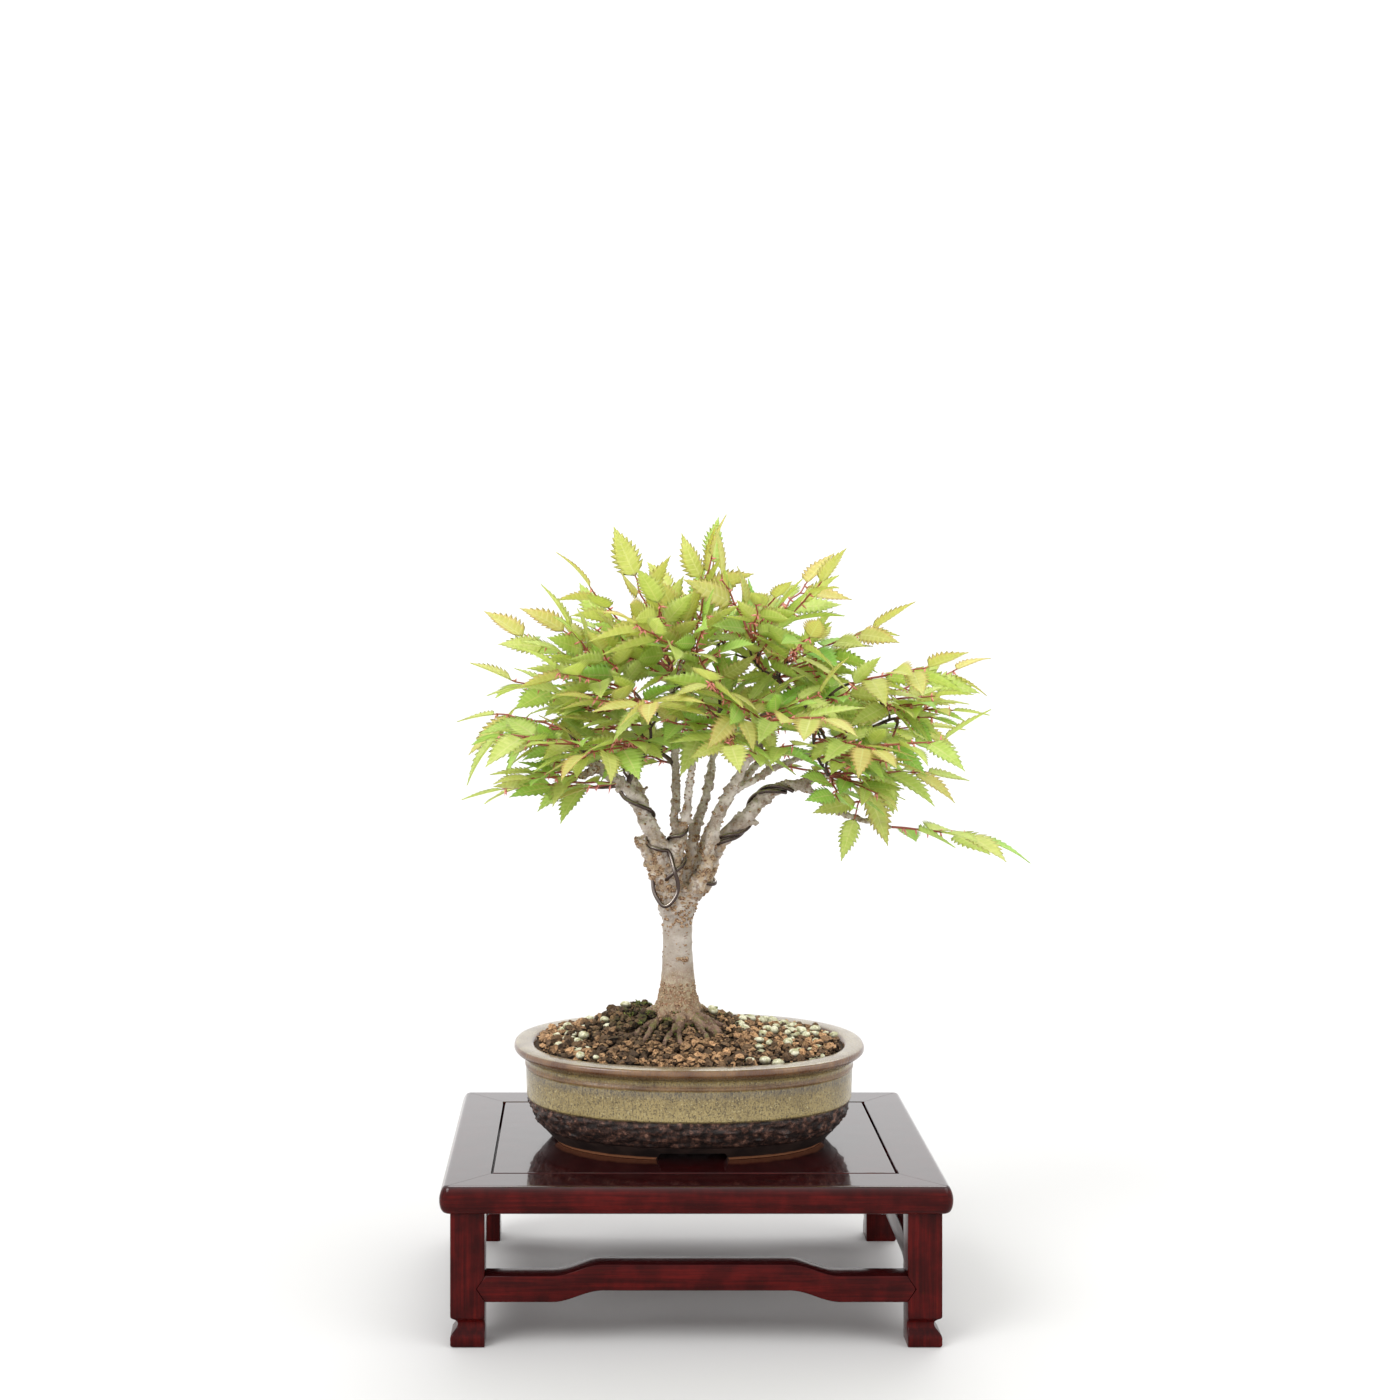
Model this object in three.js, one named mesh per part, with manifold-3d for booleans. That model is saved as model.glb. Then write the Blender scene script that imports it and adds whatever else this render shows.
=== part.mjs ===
// A Japanese zelkova bonsai in an oval glazed pot, on a low lacquered display stand.
// Sizes are in millimetres, +Z is up, and the front of the tree faces -Y.
// Heights are measured from the surface that the stand's feet rest on.

import * as THREE from "three";
import Module from "manifold-3d";
import { mergeVertices } from "three/addons/utils/BufferGeometryUtils.js";

const wasm = await Module();
wasm.setup();

// Clearances
const FIT = 0.3; // between pieces that meet on slanted or cut faces
const SEAT = 0.05; // under a flat face that rests on another

// Display stand: four mitred rails with a beaded edge round a floating panel, on four legs
const STAND = {
  height: 73.25,
  halfLength: 115.75,
  halfDepth: 85.75,
  cornerRadius: 5,
  railHeight: 12.4,
  railWidth: 22.25,
  ledge: 4.75,
  edgeInset: 3.75,
  beadInset: 3.2,
  beadDrop: 1.2,
  beadSteps: 5,
  panelThickness: 7.25,
  groove: 1.1,
};
const LEG = {
  width: 15.5,
  inset: 4.95,
  insetDepth: 4.25,
  padHeight: 5,
  scoopTop: 13,
  scoopDepth: 3.7,
};
const STRETCHER = {
  bottom: 20.5,
  height: 11.9,
  thickness: 11,
  hump: 5.2,
  humpFlat: 42,
  humpFoot: 65,
  point: 4,
  steps: 3,
};

// Oval pot: the profile gives half-lengths and heights above the pot's underside
const POT = {
  segments: 28,
  roundness: 2.25,
  narrower: 22.5,
  outside: [
    [65, 0],
    [68.6, 3.8],
    [74.4, 10.2],
    [78.2, 17.6],
    [79, 26],
    [79.4, 33.6],
    [80, 40.5],
    [84, 43],
    [85, 45],
    [84, 46.8],
  ],
  inside: [
    [76, 46.8],
    [74.3, 43],
    [60, 12],
    [50, 8.5],
    [0, 8.5],
  ],
  underside: [
    [0, 4.2],
    [56, 4.2],
    [57, 0],
  ],
  footGap: { front: 36, end: 24, height: 4, slant: 3 },
  drain: { radius: 6, offset: 28, sides: 8 },
};
const SCREEN = { size: 22, thickness: 1, holes: 3, bar: 1.6 };

// Soil: a low mound that rises to the trunk, ending below the pot's lip
const SOIL = { edge: 118, rise: 16, spread: 45, acrossSpread: 1.45, relief: 1.1, rings: [66, 50, 34, 18] };

// Trunk and limbs: rows of [x, y, z, radius] measured from the point where the trunk forks
const FORK = new THREE.Vector3(-5.5, 0, 188);
const TRUNK = [
  [0.3, 0, -74, 9],
  [0.3, 0, -62, 12.6],
  [0.3, 0, -52, 10.9],
  [0.2, 0, -45, 9],
  [0.2, 0, -34, 7.8],
  [0, 0, -22, 7.1],
  [0, 0, -9, 7.2],
  [0, 0, -3, 9],
  [0, 0, 3, 8.6],
  [0, 0, 8, 6],
];
const LIMBS = {
  left: [
    [-4, -2, -2, 4.6],
    [-7, -3, 17, 3.8],
    [-9, -4, 28, 4.1],
    [-15, -5, 39, 3.7],
    [-23, -7, 54, 3.1],
    [-38, -9, 66, 2.5],
    [-45, -10, 71, 2],
  ],
  leftLow: [
    [-38, -9, 66, 2.1],
    [-48, -13, 61.5, 1.6],
  ],
  stub: [
    [-5, -2, 2, 3],
    [-9, -4, 10, 2.4],
    [-12.5, -5, 17, 2.1],
    [-16.5, -6, 26, 2.1],
    [-18, -6, 29, 2.7],
    [-18.6, -6, 32, 1.6],
  ],
  centre: [
    [-1, -3, 0, 4.6],
    [-1.5, -4, 15, 3.5],
    [-0.7, -4, 26, 3.9],
    [1, -3, 33, 3.5],
    [-1.5, -2, 39, 2.2],
    [-0.7, 0, 48, 2],
    [-0.7, 4, 62, 1.9],
    [-1.2, 8, 83, 1.7],
    [-2, 12, 101, 1.5],
    [3, 14, 118, 1.2],
  ],
  centreFront: [
    [1, -3, 33, 2.6],
    [4, -6, 42, 2],
    [5, -12, 57, 1.7],
    [8, -24, 76, 1.4],
  ],
  centreRight: [
    [1.5, 2, 4, 3.4],
    [4, 4, 13, 2.9],
    [7.5, 6, 26, 2.5],
    [9, 8, 35, 2.5],
    [12.7, 10, 44, 2.2],
    [16.7, 14, 59, 2],
    [20, 22, 80, 1.7],
    [24, 28, 100, 1.4],
  ],
  right: [
    [5, -2, 0, 4.2],
    [9, -4, 7, 3.7],
    [13.3, -5, 16, 2.9],
    [15, -6, 24, 2.5],
    [16.9, -7, 34, 3.1],
    [20.5, -9, 45, 2.7],
    [25, -11, 54, 2.5],
    [30, -15, 64, 2.1],
    [38, -22, 80, 1.7],
    [46, -28, 94, 1.4],
  ],
  rightInner: [
    [25, -11, 54, 2],
    [34, -10, 58.5, 1.7],
    [44, -6, 64, 1.6],
    [58, 0, 69, 1.4],
    [68, 3, 71, 1.3],
  ],
  farRight: [
    [8, 3, 2, 3.4],
    [14, 5, 7, 2.8],
    [17.5, 5, 16, 2.3],
    [20, 4, 25, 2.9],
    [25.5, 3, 33, 3.6],
    [32.3, 2, 39.5, 3.5],
    [38.5, 2, 46, 3.3],
    [46, 2, 52.5, 2.9],
    [54, 2, 56, 2.4],
    [62, 2, 55, 1.9],
    [69, 1, 50.5, 1.7],
    [76, 0, 45, 1.6],
    [89, -2, 40, 1.4],
    [98, -3, 38.8, 1.2],
  ],
  farRightUpper: [
    [54, 2, 56, 1.9],
    [70, 4, 59.5, 1.6],
    [76, 4.5, 60.5, 1.5],
  ],
  backLeft: [
    [-4, 4, 0, 3.8],
    [-8, 10, 14, 3.2],
    [-12, 16, 32, 2.7],
    [-18, 24, 50, 2.2],
    [-27, 35, 69, 1.7],
  ],
  backRight: [
    [4, 5, 0, 3.8],
    [9, 12, 14, 3.2],
    [17, 21, 31, 2.7],
    [28, 31, 48, 2.2],
    [42, 41, 63, 1.7],
  ],
};
const SIDES = { trunk: 9, limb: 6, branch: 4, root: 4 };

// Surface roots: their bearings in degrees, 0 towards +X
const ROOTS = {
  bearings: [-38, -58, -88, -128, -172, 130, 78, 20],
  reach: 33,
  // Each row is the share of the reach, the height above the soil, and the radius
  rows: [
    [0, 9, 4.6],
    [0.3, 2.6, 3.4],
    [0.55, 0.9, 2.3],
    [0.8, 0.1, 1.7],
    [1, -4, 1],
  ],
};

// Leafy shoots: each tier is a ring of them round the crown, by the height, the left and right
// ends and the depth that their tips reach. rise is how steeply they point up, in degrees, and
// lift is how much higher the ring is at the front and the back than at its ends.
const TIERS = [
  { height: 250, left: -118, right: 150, depth: 92, rise: 2, lift: 27, count: 8, bearing: 0 },
  { height: 278, left: -124, right: 158, depth: 98, rise: 12, lift: 13, count: 8, bearing: 22 },
  { height: 306, left: -118, right: 158, depth: 94, rise: 20, lift: 4, count: 7, bearing: 14 },
  { height: 334, left: -106, right: 116, depth: 78, rise: 30, lift: 0, count: 6, bearing: 0 },
  { height: 357, left: -62, right: 84, depth: 52, rise: 42, lift: 0, count: 5, bearing: 36 },
  { height: 376, left: -38, right: 30, depth: 18, rise: 58, lift: 0, count: 3, bearing: 60 },
];
const CROWN = { middle: 16 };
// Shoots of the low branch on the right, set by hand: tip, and the way the shoot points
const LOW_SHOOTS = [
  { tip: [169, -8, 220], heading: [1, -0.08, -0.06] },
  { tip: [70, -14, 212], heading: [-0.45, -0.25, -0.85] },
];
const SHOOT = { seed: 42, length: 46, radius: 0.65, joints: 7, zigzag: 0.7, sag: 0.05, tilt: 0.5, branchSteps: 3 };

// Leaves: rows of [share of the length, share of the half-width] run from the base to the tip,
// each tooth followed by the notch ahead of it
const LEAF = {
  length: [25, 33],
  slimness: [0.4, 0.48],
  thickness: 1.2,
  stalkWidth: 1.1,
  middle: 0.45,
  edge: [
    [0.26, 1],
    [0.34, 0.8],
    [0.6, 0.84],
    [0.67, 0.5],
  ],
  // Angles, in radians: how a leaf hangs or rises from its shoot, how the one at the shoot's end
  // does, and leans tried in turn until a leaf is clear of everything else
  pitch: [-0.5, 0.15],
  endPitch: [-0.3, 0.2],
  leans: [0, 0.3, -0.3, 0.6, -0.6],
  clearance: 0.25,
};

// Training wires wound round the limbs
const WIRE = { radius: 0.75, sides: 4, stepsPerTurn: 8, stand: 0.35 };

const FINISHES = {
  lacquer: { color: 0x2a0a0a, roughness: 0.12, metalness: 0 },
  glaze: { color: 0x8f8a63, roughness: 0.25, metalness: 0 },
  plastic: { color: 0x1c1c1c, roughness: 0.6, metalness: 0 },
  soil: { color: 0x5a3d22, roughness: 0.95, metalness: 0 },
  bark: { color: 0x9b8d7e, roughness: 0.8, metalness: 0 },
  wire: { color: 0x3d2c27, roughness: 0.35, metalness: 0.8 },
  leaf: { color: 0xa9bf3c, roughness: 0.5, metalness: 0, side: THREE.DoubleSide },
};

const tree = new THREE.Group();

// Gives numbers between two limits, in an order that is the same for the same seed.
function stream(seed) {
  const modulus = 2147483647;
  let state = (seed * 7919 + 104729) % modulus;
  const draw = (low, high) => {
    state = (state * 16807) % modulus;
    return low + ((high - low) * state) / modulus;
  };
  draw(0, 1);
  draw(0, 1);
  return draw;
}

// Turns corners and triangles into a solid whose faces point out.
function solidFrom(corners, triangles) {
  let volume = 0;
  const a = new THREE.Vector3();
  const b = new THREE.Vector3();
  const c = new THREE.Vector3();
  for (let i = 0; i < triangles.length; i += 3) {
    a.fromArray(corners, 3 * triangles[i]);
    b.fromArray(corners, 3 * triangles[i + 1]);
    c.fromArray(corners, 3 * triangles[i + 2]);
    volume += a.dot(b.cross(c));
  }
  const facingOut = volume > 0 ? triangles : [...triangles].reverse();
  const mesh = new wasm.Mesh({
    numProp: 3,
    vertProperties: new Float32Array(corners),
    triVerts: new Uint32Array(facingOut),
  });
  return new wasm.Manifold(mesh);
}

// Merges a geometry's shared corners, drops the triangles that this closes up, and makes it solid.
function solidOf(geometry) {
  geometry.deleteAttribute("normal");
  geometry.deleteAttribute("uv");
  const merged = mergeVertices(geometry, 1e-4);
  const index = merged.index.array;
  const triangles = [];
  for (let i = 0; i < index.length; i += 3) {
    const [a, b, c] = [index[i], index[i + 1], index[i + 2]];
    if (a !== b && b !== c && c !== a) triangles.push(a, b, c);
  }
  return solidFrom(merged.attributes.position.array, triangles);
}

// Moves every corner of a geometry by a rule that is given the corner and changes it.
function reshape(geometry, rule) {
  const position = geometry.attributes.position;
  const corner = new THREE.Vector3();
  for (let i = 0; i < position.count; i += 1) {
    corner.fromBufferAttribute(position, i);
    rule(corner);
    position.setXYZ(i, corner.x, corner.y, corner.z);
  }
  return geometry;
}

// Extrudes an outline of [x, y] rows by a depth, in the given number of steps.
function slab(outline, depth, steps = 1) {
  const shape = new THREE.Shape(outline.map(([x, y]) => new THREE.Vector2(x, y)));
  return new THREE.ExtrudeGeometry(shape, { depth, steps, bevelEnabled: false });
}

// Adds one named piece to the group.
function addPiece(name, solid, finish) {
  const mesh = solid.getMesh();
  const geometry = new THREE.BufferGeometry();
  geometry.setAttribute("position", new THREE.BufferAttribute(mesh.vertProperties, 3));
  geometry.setIndex(new THREE.BufferAttribute(mesh.triVerts, 1));
  geometry.computeVertexNormals();
  const piece = new THREE.Mesh(geometry, new THREE.MeshStandardMaterial(FINISHES[finish]));
  piece.name = name;
  tree.add(piece);
}

// The rail's section, as rows of [distance in from the stand's edge, height].
function railSection() {
  const { height, railHeight, railWidth, ledge, edgeInset, beadInset, beadDrop, beadSteps } = STAND;
  const underside = height - railHeight;
  const inner = railWidth + ledge;
  const shelf = height - STAND.panelThickness;
  const section = [[edgeInset, height]];
  for (let i = 0; i <= beadSteps; i += 1) {
    const angle = (Math.PI * i) / beadSteps;
    const inset = beadInset * (1 - Math.sin(angle));
    const drop = beadDrop + ((railHeight - beadDrop) * (1 - Math.cos(angle))) / 2;
    section.push([inset, height - drop]);
  }
  section.push([inner, underside], [inner, shelf], [railWidth, shelf], [railWidth, height]);
  return section;
}

// One rail along X on the -Y side, cut at 45 degrees at both ends, with rounded outer corners.
function rail(halfLength, halfDepth) {
  const radius = STAND.cornerRadius;
  const mitre = FIT / Math.SQRT2;
  const turns = [Math.PI / 4, Math.PI / 8, 0];
  const stations = turns.length * 2 - 1;
  return reshape(slab(railSection(), stations, stations), (corner) => {
    const [inset, height, station] = [corner.x, corner.y, Math.round(corner.z)];
    const end = station < turns.length ? -1 : 1;
    const turn = end < 0 ? turns[station] : turns[stations - station];
    const bend = Math.max(radius - inset, 0);
    const back = Math.max(radius, inset);
    const x = halfLength - back + bend * Math.sin(turn) - mitre;
    const y = halfDepth - back + bend * Math.cos(turn);
    corner.set(end * x, -y, height);
  });
}

// The outline of a stretcher seen from its broad side, grown all round by a clearance.
function stretcherOutline(halfLength, humpScale, grow) {
  const { bottom, height, hump, humpFlat, humpFoot, point, steps } = STRETCHER;
  const middle = bottom + height / 2;
  const curve = [];
  for (let i = 0; i <= steps; i += 1) {
    const share = i / steps;
    const rise = (hump * (1 + Math.cos(Math.PI * share))) / 2;
    const along = humpScale * (humpFlat + (humpFoot - humpFlat) * share);
    curve.push([along, rise]);
  }
  const end = halfLength - point;
  const lower = curve.map(([along, rise]) => [along, bottom - grow + rise]);
  const upper = curve.map(([along, rise]) => [along, bottom + height + grow + rise]);
  const right = [...lower, [end, bottom - grow], [halfLength + grow, middle], [end, bottom + height + grow]];
  const half = [...right, ...upper.reverse()];
  const mirrored = half.map(([along, rise]) => [-along, rise]).reverse();
  return [...half, ...mirrored];
}

// Stretcher solid on the -Y side: offset is the distance of its outer face from the middle.
function stretcher(halfLength, humpScale, offset, grow) {
  const depth = STRETCHER.thickness + 2 * grow;
  const solid = slab(stretcherOutline(halfLength, humpScale, grow), depth);
  solid.rotateX(Math.PI / 2);
  solid.translate(0, STRETCHER.thickness + grow - offset, 0);
  return solid;
}

// The leg's side view, from its inner face at 0 to its outer face, with the scooped ankle.
function legOutline(top) {
  const { width, padHeight, scoopTop, scoopDepth } = LEG;
  const steps = 4;
  const outline = [
    [0, 0],
    [width, 0],
    [width, padHeight - 1],
  ];
  for (let i = 0; i <= steps; i += 1) {
    const angle = (Math.PI / 2) * (i / steps);
    const inset = scoopDepth * Math.cos(angle);
    outline.push([width - inset, padHeight + (scoopTop - padHeight) * Math.sin(angle)]);
  }
  outline.push([width, top], [0, top]);
  return outline;
}

function addStand() {
  const { height, halfLength, halfDepth, railHeight, railWidth, groove, panelThickness } = STAND;
  const front = solidOf(rail(halfLength, halfDepth));
  const side = solidOf(rail(halfDepth, halfLength));
  addPiece("stand_frame_front", front, "lacquer");
  addPiece("stand_frame_back", front.rotate([0, 0, 180]), "lacquer");
  addPiece("stand_frame_left", side.rotate([0, 0, -90]), "lacquer");
  addPiece("stand_frame_right", side.rotate([0, 0, 90]), "lacquer");

  const margin = 2 * (railWidth + groove);
  const thickness = panelThickness - SEAT;
  const panel = new THREE.BoxGeometry(2 * halfLength - margin, 2 * halfDepth - margin, thickness);
  panel.translate(0, 0, height - thickness / 2);
  addPiece("stand_panel", solidOf(panel), "lacquer");

  const outerX = halfLength - LEG.inset;
  const outerY = halfDepth - LEG.insetDepth;
  const innerX = outerX - LEG.width;
  const innerY = outerY - LEG.width;
  const reach = STRETCHER.point - FIT;
  const sideScale = innerY / innerX;
  const makeFront = (grow) => solidOf(stretcher(innerX + reach, 1, outerY, grow));
  const makeSide = (grow) => solidOf(stretcher(innerY + reach, sideScale, outerX, grow)).rotate([0, 0, -90]);
  addPiece("stand_stretcher_front", makeFront(0), "lacquer");
  addPiece("stand_stretcher_back", makeFront(0).rotate([0, 0, 180]), "lacquer");
  addPiece("stand_stretcher_left", makeSide(0), "lacquer");
  addPiece("stand_stretcher_right", makeSide(0).rotate([0, 0, 180]), "lacquer");

  const outline = legOutline(height - railHeight - SEAT);
  const alongY = slab(outline, LEG.width).rotateX(Math.PI / 2).translate(0, LEG.width, 0);
  const alongX = slab(outline, LEG.width).rotateX(Math.PI / 2).rotateZ(Math.PI / 2);
  const leg = solidOf(alongY).intersect(solidOf(alongX)).translate([innerX, innerY, 0]);
  const notched = leg
    .subtract(makeFront(FIT).rotate([0, 0, 180]))
    .subtract(makeSide(FIT).rotate([0, 0, 180]));
  addPiece("stand_leg_back_right", notched, "lacquer");
  addPiece("stand_leg_back_left", notched.mirror([1, 0, 0]), "lacquer");
  addPiece("stand_leg_front_right", notched.mirror([0, 1, 0]), "lacquer");
  addPiece("stand_leg_front_left", notched.mirror([1, 0, 0]).mirror([0, 1, 0]), "lacquer");
}

// The point of the pot's oval at an angle, for a given half-length.
function oval(halfLength, angle) {
  const halfDepth = Math.max(halfLength - POT.narrower, halfLength / 2);
  const power = 2 / POT.roundness;
  const [cos, sin] = [Math.cos(angle), Math.sin(angle)];
  const x = halfLength * Math.sign(cos) * Math.abs(cos) ** power;
  const y = halfDepth * Math.sign(sin) * Math.abs(sin) ** power;
  return [x, y];
}

// A lathe whose rounds are pressed into the pot's oval, from rows of [half-length, height].
function ovalLathe(profile, base) {
  const points = profile.map(([radius, height]) => new THREE.Vector2(radius, height));
  const lathe = new THREE.LatheGeometry(points, POT.segments);
  return reshape(lathe, (corner) => {
    const [x, y] = oval(Math.hypot(corner.x, corner.z), Math.atan2(corner.x, corner.z));
    corner.set(x, y, base + corner.y);
  });
}

// The slanted gap between two feet, as a long bar along Y.
function footGap(width) {
  const { height, slant } = POT.footGap;
  const outline = [
    [-width / 2, -1],
    [width / 2, -1],
    [width / 2 - slant, height],
    [-width / 2 + slant, height],
  ];
  const length = 2 * POT.outside[0][0] + 20;
  return slab(outline, length).rotateX(Math.PI / 2).translate(0, length / 2, STAND.height + SEAT);
}

function addPot() {
  const base = STAND.height + SEAT;
  const floor = POT.inside.at(-1)[1];
  let pot = solidOf(ovalLathe([...POT.underside, ...POT.outside, ...POT.inside], base));
  pot = pot.subtract(solidOf(footGap(POT.footGap.front)));
  pot = pot.subtract(solidOf(footGap(POT.footGap.end)).rotate([0, 0, 90]));
  const sideways = [-POT.drain.offset, POT.drain.offset];
  for (const x of sideways) {
    const hole = new THREE.CylinderGeometry(POT.drain.radius, POT.drain.radius, 3 * floor, POT.drain.sides);
    pot = pot.subtract(solidOf(hole.rotateX(Math.PI / 2).translate(x, 0, base)));
  }
  addPiece("pot", pot, "glaze");

  const { size, thickness, holes, bar } = SCREEN;
  const pitch = (size - bar) / holes;
  const opening = pitch - bar;
  let screen = solidOf(new THREE.BoxGeometry(size, size, thickness).translate(0, 0, thickness / 2));
  for (let row = 0; row < holes; row += 1) {
    for (let column = 0; column < holes; column += 1) {
      const hole = new THREE.BoxGeometry(opening, opening, 3 * thickness);
      const place = (share) => (share - (holes - 1) / 2) * pitch;
      screen = screen.subtract(solidOf(hole.translate(place(row), place(column), 0)));
    }
  }
  const names = ["drain_screen_left", "drain_screen_right"];
  names.forEach((name, i) => {
    addPiece(name, screen.translate([sideways[i], 0, base + floor + SEAT]), "plastic");
  });
}

// The soil's height at a place, before its grains.
function soilHeight(x, y) {
  const distance = Math.hypot(x - FORK.x, SOIL.acrossSpread * y);
  return SOIL.edge + SOIL.rise * Math.exp(-((distance / SOIL.spread) ** 2));
}

// A solid of soil that fills the pot, with sockets left by the roots given.
function addSoil(roots) {
  const base = STAND.height + SEAT;
  const rim = SOIL.edge - base;
  const [, wall, heel, floor] = POT.inside;
  const share = (rim - heel[1]) / (wall[1] - heel[1]);
  const edge = heel[0] + (wall[0] - heel[0]) * share - FIT;
  const bottom = floor[1] + FIT;
  const profile = [
    [0, bottom],
    [floor[0] - FIT, bottom],
    [heel[0] - FIT, heel[1] + FIT],
    [edge, rim],
    ...SOIL.rings.map((radius) => [radius, rim]),
    [0, rim],
  ];
  const draw = stream(3);
  const bumps = new Map();
  const geometry = reshape(ovalLathe(profile, base), (corner) => {
    if (corner.z < SOIL.edge - 0.01) return;
    const key = `${Math.round(corner.x * 100)} ${Math.round(corner.y * 100)}`;
    if (!bumps.has(key)) bumps.set(key, draw(-SOIL.relief, SOIL.relief));
    const inside = Math.hypot(corner.x, corner.y) < SOIL.rings[0] + 1;
    const bump = inside ? bumps.get(key) : 0;
    corner.z = soilHeight(corner.x, corner.y) + bump;
  });
  let soil = solidOf(geometry).subtract(roots);
  for (const x of [-POT.drain.offset, POT.drain.offset]) {
    const wide = SCREEN.size + 2 * FIT;
    const tall = 2 * (SCREEN.thickness + FIT);
    const pocket = new THREE.BoxGeometry(wide, wide, tall).translate(x, 0, base + POT.inside.at(-1)[1]);
    soil = soil.subtract(solidOf(pocket));
  }
  const largest = soil.decompose().reduce((best, body) => (body.volume() > best.volume() ? body : best));
  addPiece("soil", largest, "soil");
}

// A smooth line through rows of [x, y, z, radius], as a curve and a rule for its radius.
function line(rows, origin = new THREE.Vector3()) {
  const points = rows.map(([x, y, z]) => new THREE.Vector3(x, y, z).add(origin));
  const curve = new THREE.CatmullRomCurve3(points, false, "catmullrom", 0.5);
  const last = rows.length - 1;
  const radiusAt = (t) => {
    const place = t * last;
    const row = Math.min(Math.floor(place), last - 1);
    return THREE.MathUtils.lerp(rows[row][3], rows[row + 1][3], place - row);
  };
  return { pointAt: (t) => curve.getPoint(t), alongAt: (t) => curve.getTangent(t), radiusAt, last };
}

// Carries a pair of crosswise directions along a line without letting them twist.
function framesAlong(path, steps) {
  const frames = [];
  let side = new THREE.Vector3(0, 1, 0);
  for (let i = 0; i <= steps; i += 1) {
    const t = i / steps;
    const along = path.alongAt(t);
    if (i === 0 && Math.abs(along.y) > 0.9) side = new THREE.Vector3(1, 0, 0);
    side = side.clone().addScaledVector(along, -side.dot(along)).normalize();
    const over = along.clone().cross(side);
    frames.push({ point: path.pointAt(t), along, side, over, radius: path.radiusAt(t) });
  }
  return frames;
}

// A tapering stem: a cylinder whose rings are carried along the line. Its sides may be made
// uneven by a share of the radius, and fatter all over by a clearance.
function stem(path, sides, steps, { uneven = 0, fatter = 0, seed = 1 } = {}) {
  const frames = framesAlong(path, steps);
  const draw = stream(seed);
  const swell = new Map();
  const cylinder = new THREE.CylinderGeometry(1, 1, steps, sides, steps);
  return reshape(cylinder, (corner) => {
    const ring = Math.round(steps / 2 - corner.y);
    const { point, side, over, radius, along } = frames[ring];
    const key = `${ring} ${Math.round(corner.x * 100)} ${Math.round(corner.z * 100)}`;
    if (!swell.has(key)) swell.set(key, 1 + draw(-uneven, uneven));
    const size = radius * swell.get(key) + fatter;
    const end = ring === 0 ? -fatter : 0;
    const [x, z] = [corner.x * size, corner.z * size];
    corner.copy(point).addScaledVector(side, x).addScaledVector(over, z).addScaledVector(along, end);
  });
}

// The path of one surface root, from inside the trunk down into the soil.
function rootPath(bearing) {
  const [cos, sin] = [Math.cos(bearing), Math.sin(bearing)];
  const rows = ROOTS.rows.map(([share, lift, radius]) => {
    const x = FORK.x + cos * share * ROOTS.reach;
    const y = sin * share * ROOTS.reach;
    return [x, y, soilHeight(x, y) + lift, radius];
  });
  return line(rows);
}

// A smooth path between two places that leaves along one direction and arrives along another.
function branchPath(start, leaving, end, arriving, thick, thin) {
  const reach = start.distanceTo(end) * 0.4;
  const curve = new THREE.CubicBezierCurve3(
    start,
    start.clone().addScaledVector(leaving, reach),
    end.clone().addScaledVector(arriving, -reach),
    end,
  );
  return {
    pointAt: (t) => curve.getPoint(t),
    alongAt: (t) => curve.getTangent(t),
    radiusAt: (t) => THREE.MathUtils.lerp(thick, thin, t),
  };
}

// The shoots of the crown: where each starts, its joints, and its leaves.
function planShoots() {
  const shoots = [];
  for (const tier of TIERS) {
    for (let i = 0; i < tier.count; i += 1) {
      const draw = stream(SHOOT.seed + shoots.length);
      const bearing = THREE.MathUtils.degToRad(tier.bearing + (360 * i) / tier.count + draw(-9, 9));
      const reach = draw(0.93, 1.04);
      const rise = THREE.MathUtils.degToRad(tier.rise + draw(-7, 9));
      const turned = bearing + draw(-0.3, 0.3);
      const tip = new THREE.Vector3(
        (tier.right + tier.left) / 2 + ((tier.right - tier.left) / 2) * reach * Math.cos(bearing),
        tier.depth * reach * Math.sin(bearing),
        tier.height + tier.lift * Math.sin(bearing) ** 2 + draw(-6, 6),
      );
      const heading = new THREE.Vector3(
        Math.cos(rise) * Math.cos(turned),
        Math.cos(rise) * Math.sin(turned),
        Math.sin(rise),
      );
      shoots.push(planShoot(tip, heading, SHOOT.joints, draw));
    }
  }
  for (const { tip, heading } of LOW_SHOOTS) {
    const draw = stream(SHOOT.seed + shoots.length);
    const direction = new THREE.Vector3(...heading).normalize();
    shoots.push(planShoot(new THREE.Vector3(...tip), direction, SHOOT.joints, draw));
  }
  return shoots;
}

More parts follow.
